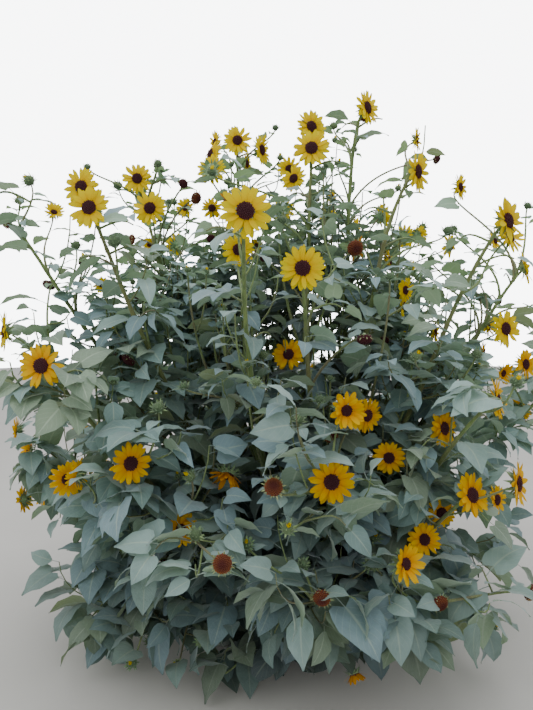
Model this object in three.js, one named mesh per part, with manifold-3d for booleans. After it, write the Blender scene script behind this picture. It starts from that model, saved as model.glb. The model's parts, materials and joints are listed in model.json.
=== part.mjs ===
// A branching sunflower plant with many stems from one foot: a short woody foot, bare lower stems that
// spread from it, and on each stem a leafy shoot with its own flower heads, buds and spent heads.
// Millimetres, +Z up, viewed along +Y. The origin is the centre of the flat cut under the foot.
import * as THREE from "three";
import { mergeVertices } from "three/addons/utils/BufferGeometryUtils.js";
import Module from "manifold-3d";

const wasm = await Module();
wasm.setup();

// The foot: a flat cut at the ground, a root flare, a neck and a low domed top.
const FOOT = {
  flareRadius: 88,
  edgeHeight: 8,
  baseRadius: 63,
  flareHeight: 42,
  neckRadius: 54,
  neckHeight: 92,
  shoulderRadius: 50,
  topRadius: 30,
  domeRise: 16,
  height: 310,
  sides: 11,
};

// The stems leave the foot in rings of eight, the flattest lowest, with bearings at least the spread apart.
const RING = { first: 62, rise: 68, stems: 8, spread: 37, rounds: 200 };
const STEM = { footRadius: 14, headRadius: 4.5, sides: 5, bareSteps: 3, leafySteps: 5, leafySides: 3 };

// A stem starts inside the foot, flatter than the line to its head, and arrives from behind the head. Its
// neck is given in widths of the head. It may turn at the foot, to pass other stems with room around it.
const STEM_PATH = {
  startRadius: 26,
  handle: 0.4,
  flatter: 13,
  flattest: 7,
  neck: 1.1,
  neckDrop: 0.5,
  turns: [0, 4, -4, 8, -8, 12, -12],
  room: 1,
  roomEnd: 0.97,
  roomSteps: 9,
};

// Side twigs, each with a head at its end. A twig to a head with a place of its own leaves the stem where
// that is nearest to a point a drop below the head.
const TWIG = {
  radius: 3.2,
  tipRadius: 2.6,
  steps: 2,
  sides: 3,
  along: 0.7,
  towards: 0.5,
  handle: 0.45,
  drop: 210,
  samples: 24,
  firstShare: 0.02,
  lastShare: 0.9,
  leafGap: 150,
  leavesFrom: 0.2,
  leavesTo: 0.88,
};

// Twigs by the seeded rule: their lean from the stem, their rise, and what stands at their ends.
const WILD = {
  length: 330,
  shortest: 0.8,
  longest: 1.15,
  highShare: 0.6,
  along: 0.5,
  outward: 0.85,
  reach: 0.62,
  rise: 0.45,
  handle: 0.4,
  turn: 55,
  sizes: [0.88, 1.12],
  kinds: [
    { kind: "bloom", below: 0.32, across: 118, nod: [0, 25] },
    { kind: "bud", below: 0.7, across: 46, nod: [35, 80] },
    { kind: "spent", below: 1, across: 60, nod: [-60, -10] },
  ],
  spaceAt: [0.6, 1],
};

// Heads, in half widths: the rim, notches and disc of a bloom, and the rings of a bud and of a spent head.
const BLOOM = { rays: 7, cup: 0.1, notch: 0.6, disc: 0.38, discAhead: 0.12, back: 0.24, front: 0.24 };
const BUD = { sides: 6, rings: [[1, 0]], back: 0.9, front: 0.8 };
const SPENT = { sides: 7, rings: [[1, -0.05], [0.74, 0.5]], back: 0.7, front: 0.72 };

// Nodes are the places on a stem where a leaf stands, and by turns a twig too.
const NODE = {
  gapLow: 56,
  gapHigh: 185,
  first: 0.6,
  last: 0.93,
  turn: 137.5,
  stemTurn: 77,
  twigEvery: 3,
  leafBelow: 16,
  tries: 8,
  steepest: 0.35,
};

// Leaves, larger than life because each stands for four or five.
const LEAF = {
  low: 315,
  high: 175,
  width: 0.7,
  thick: 0.04,
  elbow: 0.42,
  rise: 26,
  droopLow: -60,
  droopHigh: -16,
  lowest: 5,
};

// A shoot's space is what is nearest to points along its stem and twigs. A leaf may reach this far past the
// middle between two shoots.
const SPACE = { stemPoints: 9, twigPoints: 5, slack: 70 };
const HEIGHT = 2250;

// Gaps between the pieces, and the shortest edge kept in a solid.
const CLEAR = 0.3;
const FOOT_CLEAR = 0.5;
const SMALLEST_EDGE = 0.05;

const GREEN = { color: 0x6d8378, roughness: 0.75, metalness: 0 };
const STEM_GREEN = { color: 0x76863f, roughness: 0.7, metalness: 0 };
const FOOT_BROWN = { color: 0x8c7a52, roughness: 0.85, metalness: 0 };

// One entry for each stem. bare is the share of the stem below its foliage. The first head ends the stem,
// and the rest end twigs of it. at is the middle of the head, across its width, turn the way it faces
// (0 towards -Y, 90 towards +X) and nod how far it looks up.
const bloom = (at, across, turn, nod) => ({ kind: "bloom", at, across, turn, nod });
const spent = (at, across, turn, nod) => ({ kind: "spent", at, across, turn, nod });
const bud = (at, across, turn, nod) => ({ kind: "bud", at, across, turn, nod });
const STEMS = [
  {
    name: "topmost",
    bare: 0.4,
    heads: [
      bloom([250, -160, 2180], 135, 72, 5),
      bud([145, 60, 2190], 42, 20, 60),
    ],
  },
  {
    name: "top_mid",
    bare: 0.44,
    heads: [
      bloom([20, -270, 1990], 140, -5, 8),
      bloom([-30, 60, 1960], 120, -30, 10),
    ],
  },
  {
    name: "top_left",
    bare: 0.42,
    heads: [
      bloom([-280, 110, 2140], 130, 5, 8),
      bloom([-170, -50, 2050], 125, 95, 0),
      bloom([-390, 0, 2050], 120, -55, 20),
      bloom([-370, -160, 1940], 120, 165, 0),
    ],
  },
  {
    name: "upper_left",
    bare: 0.4,
    heads: [
      bloom([-710, 20, 1950], 130, 5, 5),
      bloom([-610, -200, 1780], 135, 0, 5),
      bud([-620, 30, 2020], 42, 40, 70),
    ],
  },
  {
    name: "left_twin",
    bare: 0.36,
    heads: [
      bloom([-700, -660, 1690], 130, -4, 8),
      bloom([-790, -460, 1800], 130, -10, 5),
    ],
  },
  {
    name: "far_left",
    bare: 0.36,
    heads: [
      spent([-1090, -380, 1700], 68, -75, -10),
      bloom([-1000, -170, 1770], 85, 30, 35),
      bud([-1160, -120, 1830], 45, 0, 60),
    ],
  },
  {
    name: "big_head",
    bare: 0.4,
    heads: [
      bloom([-210, -810, 1650], 152, 12, 10),
      bloom([-250, -430, 1590], 118, 8, -5),
    ],
  },
  {
    name: "front_mid",
    bare: 0.36,
    heads: [
      bloom([-40, -700, 1500], 140, 0, 6),
      spent([170, -390, 1600], 68, 10, -20),
      spent([170, -600, 1280], 60, 5, -70),
    ],
  },
  {
    name: "upper_right",
    bare: 0.4,
    heads: [
      bloom([380, -430, 1860], 140, 78, 0),
      bloom([410, -300, 2010], 90, 100, 5),
      bud([560, -230, 1690], 50, 30, 60),
    ],
  },
  { name: "right_far", bare: 0.36, heads: [bloom([600, -660, 1650], 140, 58, 10)] },
  {
    name: "right_high",
    bare: 0.34,
    heads: [
      bloom([840, -280, 1540], 130, 95, 15),
      bloom([700, -440, 1310], 135, 30, 5),
    ],
  },
  {
    name: "left_big",
    bare: 0.3,
    heads: [
      bloom([-850, -690, 1200], 140, -5, 6),
      spent([-1020, -190, 1480], 60, -40, -60),
    ],
  },
  {
    name: "left_edge",
    bare: 0.24,
    heads: [
      bloom([-1230, -60, 860], 130, -70, 0),
      bloom([-1170, -150, 590], 110, -100, -10),
      bud([-900, 60, 200], 45, -90, 30),
    ],
  },
  {
    name: "left_low",
    bare: 0.18,
    heads: [
      bloom([-840, -520, 790], 125, 28, 0),
      bud([-860, -330, 170], 42, -30, 30),
      bud([-620, -560, 150], 42, -10, 30),
    ],
  },
  {
    name: "front_left",
    bare: 0.22,
    heads: [
      bloom([-570, -720, 900], 130, 50, 5),
      bloom([-430, -640, 660], 115, 20, 12),
      spent([-270, -930, 680], 62, 0, 12),
      bloom([-280, -610, 830], 125, -10, -45),
    ],
  },
  {
    name: "front",
    bare: 0.22,
    heads: [
      bloom([40, -810, 870], 135, 2, 5),
      spent([-130, -860, 870], 62, 0, 40),
      bud([-90, -880, 760], 42, 10, 50),
      bloom([100, -690, 1060], 125, 12, 0),
      bloom([190, -560, 1020], 120, 50, -5),
    ],
  },
  {
    name: "right_mid",
    bare: 0.28,
    heads: [
      bloom([590, -640, 1090], 135, 92, 10),
      bloom([460, -530, 970], 130, 58, 10),
      bloom([270, -540, 870], 112, -10, 5),
    ],
  },
  {
    name: "right_low",
    bare: 0.22,
    heads: [
      bloom([500, -690, 790], 140, 48, 18),
      bloom([460, -520, 670], 110, 10, 0),
      bloom([640, -700, 830], 140, 82, 5),
      bud([700, -420, 200], 45, 60, 30),
    ],
  },
  {
    name: "right_side",
    bare: 0.26,
    heads: [
      bloom([1190, -20, 1120], 135, 80, 10),
      bloom([960, -60, 1150], 130, 50, 5),
      bud([850, -60, 250], 45, 90, 30),
    ],
  },
  {
    name: "front_low",
    bare: 0.18,
    heads: [
      spent([10, -850, 540], 60, -10, -15),
      bloom([150, -590, 130], 92, 30, -55),
    ],
  },
  {
    name: "right_skirt",
    bare: 0.18,
    heads: [
      spent([380, -770, 480], 58, 20, -15),
      bud([200, -690, 570], 42, 10, 40),
      spent([650, -780, 520], 60, 60, -25),
    ],
  },
  {
    name: "back_right_high",
    bare: 0.42,
    heads: [
      bloom([600, 620, 1790], 135, 140, 12),
      bloom([760, 330, 1700], 120, 100, 8),
    ],
  },
  {
    name: "back_high",
    bare: 0.42,
    heads: [
      bloom([-60, 640, 1940], 135, 175, 10),
      bloom([180, 560, 1880], 125, 150, 15),
    ],
  },
  {
    name: "back_left_high",
    bare: 0.42,
    heads: [
      bloom([-640, 580, 1740], 130, -145, 10),
      spent([-820, 330, 1640], 62, -110, -20),
    ],
  },
  {
    name: "back_right",
    bare: 0.22,
    heads: [
      bloom([820, 860, 1080], 135, 135, 8),
      bud([900, 420, 720], 45, 100, 50),
      spent([620, 640, 430], 60, 140, -20),
    ],
  },
  {
    name: "back",
    bare: 0.22,
    heads: [
      bloom([30, 1080, 1150], 135, 180, 8),
      bloom([-260, 900, 830], 120, -160, 5),
      spent([160, 820, 420], 60, 175, -20),
    ],
  },
  {
    name: "back_low_right",
    bare: 0.22,
    heads: [
      bloom([420, 1010, 640], 125, 160, 10),
      spent([560, 900, 330], 60, 120, -20),
      bud([250, 880, 220], 45, 170, 30),
    ],
  },
  {
    name: "back_low_left",
    bare: 0.22,
    heads: [
      bloom([-450, 990, 620], 125, -160, 8),
      bloom([-560, 800, 980], 120, -140, 10),
      bud([-350, 820, 200], 45, 170, 30),
    ],
  },
  {
    name: "back_left",
    bare: 0.22,
    heads: [
      bloom([-880, 740, 1120], 130, -135, 8),
      bloom([-1010, 330, 760], 120, -100, 5),
      bud([-640, 640, 420], 45, -140, 40),
    ],
  },
];

const UP = new THREE.Vector3(0, 0, 1);
const AHEAD = new THREE.Vector3(1, 0, 0);
const radians = THREE.MathUtils.degToRad;
const lerp = THREE.MathUtils.lerp;
const vector = (array) => new THREE.Vector3(...array);
const bearingOf = (point) => THREE.MathUtils.radToDeg(Math.atan2(point.x, -point.y));

// A level unit vector at a bearing in degrees: 0 is -Y and 90 is +X.
function level(bearing) {
  return new THREE.Vector3(Math.sin(radians(bearing)), -Math.cos(radians(bearing)), 0);
}

// A level unit vector raised by an elevation in degrees.
function tilted(flat, elevation) {
  const angle = radians(elevation);
  return flat.clone().multiplyScalar(Math.cos(angle)).addScaledVector(UP, Math.sin(angle));
}

// A unit vector at a bearing, raised by an elevation in degrees.
function aim(bearing, elevation) {
  return tilted(level(bearing), elevation);
}

// Seeded dice, so the plant grows the same way each time.
class Dice {
  static SIZE = 2147483647;

  constructor(seed) {
    this.state = (seed * 7919 + 104729) % Dice.SIZE;
    for (let i = 0; i < 3; i++) this.roll();
  }

  roll() {
    this.state = (this.state * 48271) % Dice.SIZE;
    return this.state / Dice.SIZE;
  }

  between(low, high) {
    return lerp(low, high, this.roll());
  }
}

// Solids: a closed geometry becomes a manifold, and a manifold becomes a geometry again.
function solidOf(geometry) {
  const bare = geometry.clone();
  for (const name of Object.keys(bare.attributes)) {
    if (name !== "position") bare.deleteAttribute(name);
  }
  const merged = mergeVertices(bare, 1e-4);
  return new wasm.Manifold(
    new wasm.Mesh({
      numProp: 3,
      vertProperties: new Float32Array(merged.attributes.position.array),
      triVerts: new Uint32Array(merged.index.array),
    }),
  );
}

function geometryOf(solid) {
  const mesh = solid.getMesh();
  const places = new Float32Array(mesh.numVert * 3);
  for (let i = 0; i < mesh.numVert; i++) {
    places.set(mesh.vertProperties.subarray(i * mesh.numProp, i * mesh.numProp + 3), i * 3);
  }
  const geometry = new THREE.BufferGeometry();
  geometry.setAttribute("position", new THREE.BufferAttribute(places, 3));
  geometry.setIndex(new THREE.BufferAttribute(new Uint32Array(mesh.triVerts), 1));
  geometry.computeVertexNormals();
  return geometry;
}

// The largest closed body of a solid, without edges too short to keep, sealed hollows or loose scraps.
function wholeOf(solid) {
  return solid
    .simplify(SMALLEST_EDGE)
    .decompose()
    .reduce((best, body) => (body.volume() > best.volume() ? body : best));
}

function boxesMeet(a, b) {
  return [0, 1, 2].every((i) => a.min[i] <= b.max[i] && b.min[i] <= a.max[i]);
}

function touches(solid, others) {
  const box = solid.boundingBox();
  return others.some((other) => boxesMeet(box, other.box) && !solid.intersect(other.solid).isEmpty());
}

const boxed = (solid) => ({ solid, box: solid.boundingBox() });

// Directions along and across a curve at each ring, carried from ring to ring without twisting. A ring
// between two others, or at the curve's own end, is square to its neighbours, so that no bend folds over.
function framesAlong(curve, a, b, steps) {
  const frames = [];
  for (let ring = 0; ring <= steps; ring++) {
    const t = lerp(a, b, ring / steps);
    const before = curve.getPoint(lerp(a, b, Math.max(ring - 1, 0) / steps));
    const after = curve.getPoint(lerp(a, b, Math.min(ring + 1, steps) / steps));
    const cut = ring === 0 || (ring === steps && b < 1);
    const along = cut ? curve.getTangent(t) : after.sub(before).normalize();
    const side = along.clone().cross(Math.abs(along.z) > 0.99 ? AHEAD : UP).normalize();
    if (ring > 0) {
      const last = frames[ring - 1];
      side.copy(last.side).applyQuaternion(new THREE.Quaternion().setFromUnitVectors(last.along, along));
    }
    frames.push({ along, side, other: side.clone().cross(along) });
  }
  return frames;
}

// A tapering limb: a cylinder whose rings are moved onto a curve from share a to share b of it.
function limb(curve, a, b, radiusA, radiusB, sides, steps, trimA = 0, trimB = 0) {
  const geometry = new THREE.CylinderGeometry(1, 1, 1, sides, steps);
  const frames = framesAlong(curve, a, b, steps);
  const place = geometry.attributes.position;
  for (let i = 0; i < place.count; i++) {
    const ring = Math.round((place.getY(i) + 0.5) * steps);
    const { along, side, other } = frames[ring];
    const share = ring / steps;
    const radius = lerp(radiusA, radiusB, share);
    const end = ring === 0 ? trimA : ring === steps ? -trimB : 0;
    const point = curve.getPoint(lerp(a, b, share)).addScaledVector(along, end);
    point.addScaledVector(side, place.getX(i) * radius).addScaledVector(other, place.getZ(i) * radius);
    place.setXYZ(i, point.x, point.y, point.z);
  }
  const solid = solidOf(geometry);
  return solid.volume() < 0 ? flipped(geometry) : solid;
}

function flipped(geometry) {
  const merged = geometry.clone();
  const turns = merged.index.array;
  for (let i = 0; i < turns.length; i += 3) [turns[i], turns[i + 1]] = [turns[i + 1], turns[i]];
  return solidOf(merged);
}

// A closed solid from points and faces.
function faceted(points, faces) {
  const geometry = new THREE.BufferGeometry();
  geometry.setFromPoints(points);
  geometry.setIndex(faces.flat());
  const solid = solidOf(geometry);
  return solid.volume() < 0 ? flipped(geometry) : solid;
}

// The woody foot, grown by a margin where the stems are cut clear of it.
function foot(margin = 0) {
  const profile = [
    new THREE.Vector2(0, -margin),
    new THREE.Vector2(FOOT.flareRadius + margin, -margin),
    new THREE.Vector2(FOOT.flareRadius + margin, FOOT.edgeHeight),
    new THREE.Vector2(FOOT.baseRadius + margin, FOOT.flareHeight),
    new THREE.Vector2(FOOT.neckRadius + margin, FOOT.neckHeight),
    new THREE.Vector2(FOOT.shoulderRadius + margin, FOOT.height - FOOT.domeRise),
    new THREE.Vector2(FOOT.topRadius + margin, FOOT.height + margin),
    new THREE.Vector2(0, FOOT.height + margin),
  ];
  const geometry = new THREE.LatheGeometry(profile, FOOT.sides);
  geometry.rotateX(Math.PI / 2);
  const solid = solidOf(geometry);
  return solid.volume() < 0 ? flipped(mergeVertices(geometry)) : solid;
}

// Bearings in one ring, pushed apart until neighbours are at least the spread from each other.
function spreadBearings(bearings, spread) {
  const order = bearings.map((bearing, i) => ({ bearing, i })).sort((p, q) => p.bearing - q.bearing);
  for (let round = 0; round < RING.rounds; round++) {
    for (let i = 0; i < order.length; i++) {
      const next = order[(i + 1) % order.length];
      const lap = i + 1 === order.length ? 360 : 0;
      const short = spread - (next.bearing + lap - order[i].bearing);
      if (short > 0) {
        order[i].bearing -= short / 2;
        next.bearing += short / 2;
      }
    }
  }
  const spreadOut = [];
  for (const { bearing, i } of order) spreadOut[i] = bearing;
  return spreadOut;
}

// The elevation of a stem's first head above the foot.
function elevationOf(stem) {
  const tip = vector(stem.heads[0].at);
  return THREE.MathUtils.radToDeg(Math.atan2(tip.z - FOOT.height / 2, Math.hypot(tip.x, tip.y)));
}

// The path of a twig or stem that ends in a head: it arrives from behind the head and a little below it.
function pathTo(head, start, handle) {
  const end = vector(head.at);
  const behind = end.clone().addScaledVector(aim(head.turn, head.nod), -STEM_PATH.neck * head.across);
  behind.addScaledVector(UP, -STEM_PATH.neckDrop * head.across);
  return new THREE.CubicBezierCurve3(start, handle, behind, end);
}

// The path of a stem that leaves the foot at a bearing and a height.
function stemPath(stem, bearing, height) {
  const start = level(bearing).multiplyScalar(STEM_PATH.startRadius).setZ(height);
  const reach = vector(stem.heads[0].at).sub(start).length();
  const slope = Math.max(STEM_PATH.flattest, elevationOf(stem) - STEM_PATH.flatter);
  const handle = start.clone().addScaledVector(aim(bearing, slope), STEM_PATH.handle * reach);
  return pathTo(stem.heads[0], start, handle);
}

// Gives every stem its place on the foot and its path to its first head. A stem that would come too close
// to an earlier one is turned a little at the foot.
function growStems(woody) {
  const order = [...STEMS].sort((p, q) => elevationOf(p) - elevationOf(q));
  const placed = [];
  for (let first = 0; first < order.length; first += RING.stems) {
    const ring = order.slice(first, first + RING.stems);
    const height = RING.first + (RING.rise * first) / RING.stems;
    const bearings = spreadBearings(
      ring.map((stem) => bearingOf(vector(stem.heads[0].at))),
      RING.spread,
    );
    ring.forEach((stem, i) => {
      for (const turn of STEM_PATH.turns) {
        stem.path = stemPath(stem, bearings[i] + turn, height);
        stem.length = stem.path.getLength();
        const radii = [STEM.footRadius, STEM.headRadius].map((radius) => radius + STEM_PATH.room);
        const whole = limb(stem.path, 0, STEM_PATH.roomEnd, ...radii, STEM.sides, STEM_PATH.roomSteps);
        const room = whole.subtract(woody);
        if (touches(room, placed)) continue;
        placed.push(boxed(room));
        break;
      }
    });
  }
}

function stemRadius(share) {
  return lerp(STEM.footRadius, STEM.headRadius, share);
}

// The outward direction at a node: it turns round the stem by the same angle from node to node.
function outwardAt(curve, t, turn) {
  const along = curve.getTangent(t);
  const side = along.clone().cross(UP);
  if (side.length() < 0.05) side.copy(AHEAD);
  side.normalize();
  return side.applyAxisAngle(along, radians(turn));
}

// A twig that ends in a head with a place of its own.
function twigTo(stem, head) {
  const below = vector(head.at).addScaledVector(UP, -TWIG.drop);
  const first = stem.bare + TWIG.firstShare;
  let best = first;
  for (let i = 0; i <= TWIG.samples; i++) {
    const t = lerp(first, TWIG.lastShare, i / TWIG.samples);
    if (stem.path.getPoint(t).distanceTo(below) < stem.path.getPoint(best).distanceTo(below)) best = t;
  }
  const start = stem.path.getPoint(best);
  const reach = vector(head.at).sub(start);
  const lean = stem.path.getTangent(best).multiplyScalar(TWIG.along);
  lean.addScaledVector(reach.clone().normalize(), TWIG.towards).normalize();
  const handle = start.clone().addScaledVector(lean, TWIG.handle * reach.length());
  return { path: pathTo(head, start, handle), head };
}

// A twig by the seeded rule, at a node of the stem.
function twigAt(stem, t, turn, dice) {
  const start = stem.path.getPoint(t);
  const along = stem.path.getTangent(t);
  const outward = outwardAt(stem.path, t, turn);
  const lean = along.multiplyScalar(WILD.along).addScaledVector(outward, WILD.outward).normalize();
  const share = (t - stem.bare) / (1 - stem.bare);
  const length = WILD.length * dice.between(WILD.shortest, WILD.longest) * lerp(1, WILD.highShare, share);
  const end = start.clone().addScaledVector(lean, WILD.reach * length);
  end.addScaledVector(UP, WILD.rise * length);
  const chance = dice.roll();
  const { kind, across, nod } = WILD.kinds.find(({ below }) => chance < below);
  const head = {
    kind,
    at: end.toArray(),
    across: across * dice.between(...WILD.sizes),
    turn: bearingOf(end) + dice.between(-WILD.turn, WILD.turn),
    nod: dice.between(...nod),
  };
  return { path: pathTo(head, start, start.clone().addScaledVector(lean, WILD.handle * length)), head };
}

// A head's own directions: the way it faces, and two across it.
function headFrame(head) {
  const facing = aim(head.turn, head.nod);
  const right = level(head.turn + 90);
  return { facing, right, top: right.clone().cross(facing).negate() };
}

// A ring of points round a head's axis.
function headRing(head, radius, forward, count, phase = 0) {
  const { facing, right, top } = headFrame(head);
  return Array.from({ length: count }, (_, i) => {
    const angle = ((i + phase) / count) * 2 * Math.PI;
    return vector(head.at)
      .addScaledVector(facing, forward)
      .addScaledVector(right, Math.cos(angle) * radius)
      .addScaledVector(top, Math.sin(angle) * radius);
  });
}

// A flower in bloom: a star of rays round a low domed disc, and a green cup behind.
function bloomSolid(head) {
  const { rays } = BLOOM;
  const radius = head.across / 2;
  const tips = headRing(head, radius, radius * BLOOM.cup, rays);
  const notches = headRing(head, radius * BLOOM.notch, 0, rays, 0.5);
  const disc = headRing(head, radius * BLOOM.disc, radius * BLOOM.discAhead, rays);
  const [back] = headRing(head, 0, -radius * BLOOM.back, 1);
  const [front] = headRing(head, 0, radius * BLOOM.front, 1);
  const faces = [];
  for (let i = 0; i < rays; i++) {
    const next = (i + 1) % rays;
    const [tip, notch, inner] = [i, rays + i, 2 * rays + i];
    faces.push([3 * rays, notch, tip], [3 * rays, next, notch]);
    faces.push([tip, notch, inner], [notch, next, 2 * rays + next], [notch, 2 * rays + next, inner]);
    faces.push([inner, 2 * rays + next, 3 * rays + 1]);
  }
  return faceted([...tips, ...notches, ...disc, back, front], faces);
}

// A bud or a spent head: a blunt spindle of rings, each a width and a way forward, round the axis.
function spindleSolid(head, { sides, rings, back, front }) {
  const radius = head.across / 2;
  const points = rings.flatMap(([wide, ahead]) => headRing(head, wide * radius, ahead * radius, sides));
  const ends = [-back, front].flatMap((ahead) => headRing(head, 0, ahead * radius, 1));
  const last = (rings.length - 1) * sides;
  const faces = [];
  for (let i = 0; i < sides; i++) {
    const next = (i + 1) % sides;
    faces.push([points.length, next, i]);
    faces.push([last + i, last + next, points.length + 1]);
    for (let ring = 0; ring < last; ring += sides) {
      faces.push([ring + i, ring + next, ring + sides + i]);
      faces.push([ring + next, ring + sides + next, ring + sides + i]);
    }
  }
  return faceted([...points, ...ends], faces);
}

function headSolid(head) {
  return head.kind === "bloom" ? bloomSolid(head) : spindleSolid(head, head.kind === "bud" ? BUD : SPENT);
}

// A leaf on its stalk: it rises from the stem to an elbow, where it is widest, and droops to its tip.
function leafSolid(leaf) {
  const { base, outward, length, droop } = leaf;
  const away = new THREE.Vector3(outward.x, outward.y, 0).normalize();
  const side = away.clone().cross(UP);
  const rise = tilted(away, LEAF.rise);
  const fall = tilted(away, droop);
  const elbow = base.clone().addScaledVector(rise, LEAF.elbow * length);
  const tip = elbow.clone().addScaledVector(fall, (1 - LEAF.elbow) * length);
  const upward = side.clone().cross(fall.clone().add(rise)).normalize();
  const half = (LEAF.width * length) / 2;
  const points = [
    base,
    tip,
    elbow.clone().addScaledVector(side, half),
    elbow.clone().addScaledVector(side, -half),
    elbow.clone().addScaledVector(upward, LEAF.thick * length),
  ];
  const faces = [
    [0, 2, 3],
    [1, 3, 2],
    [0, 4, 2],
    [0, 3, 4],
    [1, 2, 4],
    [1, 4, 3],
  ];
  return { solid: faceted(points, faces), elbow, tip };
}

// How far a point is from the nearest of some points.
function nearest(point, points) {
  return Math.min(...points.map((other) => point.distanceTo(other)));
}

// The pieces of one twig: its limb and its head.
function twigPieces(twig) {
  twig.limb = boxed(limb(twig.path, 0, 1, TWIG.radius, TWIG.tipRadius, TWIG.sides, TWIG.steps));
  return [twig.limb, boxed(headSolid(twig.head))];
}

// Points along a curve from a share of it to its end.
function pointsAlong(curve, from, count) {
  return Array.from({ length: count }, (_, i) => curve.getPoint(lerp(from, 1, i / (count - 1))));
}

// The nodes of a stem above its bare part, closer together low down than high up.
function nodesOf(stem, index) {
  const gap = lerp(NODE.gapLow, NODE.gapHigh, stem.path.getPoint((1 + stem.bare) / 2).z / HEIGHT);
  const count = Math.floor((stem.length * (NODE.last - stem.bare)) / gap);
  return Array.from({ length: count }, (_, k) => ({
    t: lerp(stem.bare, NODE.last, (k + NODE.first) / count),
    turn: NODE.turn * k + NODE.stemTurn * index,
    dice: new Dice(100 * index + k),
  }));
}

// The stem and twigs of every shoot, before the leaves. A twig by rule that would touch a limb is skipped.
function growShoots(limbs) {
  STEMS.forEach((stem, index) => {
    const { path, bare } = stem;
    const { leafySides, leafySteps, headRadius } = STEM;
    stem.limb = boxed(limb(path, bare, 1, stemRadius(bare), headRadius, leafySides, leafySteps, CLEAR / 2));
    stem.twigs = stem.heads.slice(1).map((head) => twigTo(stem, head));
    stem.nodes = nodesOf(stem, index);
    const twigPoints = stem.twigs.flatMap((twig) => pointsAlong(twig.path, 0, SPACE.twigPoints));
    stem.space = [...pointsAlong(path, bare, SPACE.stemPoints), ...twigPoints];
    stem.pieces = [stem.limb, boxed(headSolid(stem.heads[0])), ...stem.twigs.flatMap(twigPieces)];
  });
  for (const stem of STEMS) {
    const around = [...limbs, ...STEMS.filter((other) => other !== stem).flatMap((other) => other.pieces)];
    for (const node of stem.nodes.filter((_, k) => k % NODE.twigEvery === 1)) {
      const twig = twigAt(stem, node.t, node.turn, node.dice);
      const kept = WILD.spaceAt.map((share) => twig.path.getPoint(share));
      if (!keepsToSpace(kept, stem, 0)) continue;
      const pieces = twigPieces(twig);
      const own = stem.pieces.filter((piece) => piece !== stem.limb);
      if (pieces.some(({ solid }) => touches(solid, around) || touches(solid, own))) continue;
      stem.twigs.push(twig);
      stem.pieces.push(...pieces);
    }
  }
}

// A point keeps to a shoot's space where that shoot is the nearest one, give or take the slack.
function keepsToSpace(points, stem, slack) {
  return points.every((point) => {
    const own = nearest(point, stem.space);
    return STEMS.every((other) => other === stem || own < nearest(point, other.space) + slack);
  });
}

// The places where leaves are wanted: at the nodes of the stem, and along its twigs.
function leafPlaces(stem) {
  const onStem = stem.nodes.map(({ t, turn }) => ({
    curve: stem.path,
    t: t - NODE.leafBelow / stem.length,
    turn: turn + 180,
    carrier: stem.limb,
  }));
  const onTwigs = stem.twigs.flatMap((twig, k) => {
    const count = Math.max(1, Math.floor(twig.path.getLength() / TWIG.leafGap));
    return Array.from({ length: count }, (_, i) => ({
      curve: twig.path,
      t: lerp(TWIG.leavesFrom, TWIG.leavesTo, (i + 0.5) / count),
      turn: NODE.turn * (k + i),
      carrier: twig.limb,
    }));
  });
  return [...onStem, ...onTwigs];
}

// How far a leaf droops beyond its elbow: more low down, though never into the ground.
function droopOf(base, length) {
  const elbow = base.z + LEAF.elbow * length * Math.sin(radians(LEAF.rise));
  const least = Math.asin(THREE.MathUtils.clamp((LEAF.lowest - elbow) / ((1 - LEAF.elbow) * length), -1, 1));
  return Math.max(lerp(LEAF.droopLow, LEAF.droopHigh, base.z / HEIGHT), THREE.MathUtils.radToDeg(least));
}

// The leaves of every shoot. One that would leave the shoot's space or touch a limb, a head or another leaf
// is turned a little further round its stem, and skipped where no turn helps.
function growLeaves(limbs) {
  for (const stem of STEMS) {
    const around = [...limbs, ...STEMS.filter((other) => other !== stem).flatMap((other) => other.pieces)];
    for (const { curve, t, turn, carrier } of leafPlaces(stem)) {
      const base = curve.getPoint(t);
      const length = lerp(LEAF.low, LEAF.high, base.z / HEIGHT);
      const droop = droopOf(base, length);
      for (let attempt = 0; attempt < NODE.tries; attempt++) {
        const outward = outwardAt(curve, t, turn + (360 / NODE.tries) * attempt);
        if (Math.hypot(outward.x, outward.y) < NODE.steepest) continue;
        const leaf = leafSolid({ base, outward, length, droop });
        if (!keepsToSpace([leaf.elbow, leaf.tip], stem, SPACE.slack)) continue;
        const own = stem.pieces.filter((piece) => piece !== carrier);
        if (touches(leaf.solid, around) || touches(leaf.solid, own)) continue;
        stem.pieces.push(boxed(leaf.solid));
        break;
      }
    }
  }
}

// The whole plant: the foot, and for each stem its bare lower part and its leafy shoot.
function build() {
  const plant = new THREE.Group();
  plant.name = "sunflower_plant";
  const add = (name, solid, look) => {
    const mesh = new THREE.Mesh(geometryOf(solid), new THREE.MeshStandardMaterial(look));
    mesh.name = name;
    plant.add(mesh);
  };
  const woody = foot();
  const woodyClear = foot(FOOT_CLEAR);
  growStems(woody);
  const bare = STEMS.map((stem) => {
    const radii = [STEM.footRadius, stemRadius(stem.bare)];
    const solid = limb(stem.path, 0, stem.bare, ...radii, STEM.sides, STEM.bareSteps, 0, CLEAR / 2);
    return wholeOf(solid.subtract(woodyClear));
  });
  const limbs = [woody, ...bare].map(boxed);
  growShoots(limbs);
  growLeaves(limbs);
  add("foot", woody, FOOT_BROWN);
  STEMS.forEach((stem, i) => {
    add(`stem_${stem.name}`, bare[i], STEM_GREEN);
    const shoot = wasm.Manifold.union(stem.pieces.map(({ solid }) => solid));
    add(`shoot_${stem.name}`, wholeOf(shoot), GREEN);
  });
  return plant;
}

export default build();
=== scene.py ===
"""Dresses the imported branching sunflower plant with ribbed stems, sprays of leaves and flower heads.

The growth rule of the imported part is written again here, in millimetres and degrees, so that every finer
twig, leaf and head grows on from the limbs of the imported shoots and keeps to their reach. Finished meshes
are in metres, +Z up, seen along +Y.
"""

from __future__ import annotations

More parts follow.
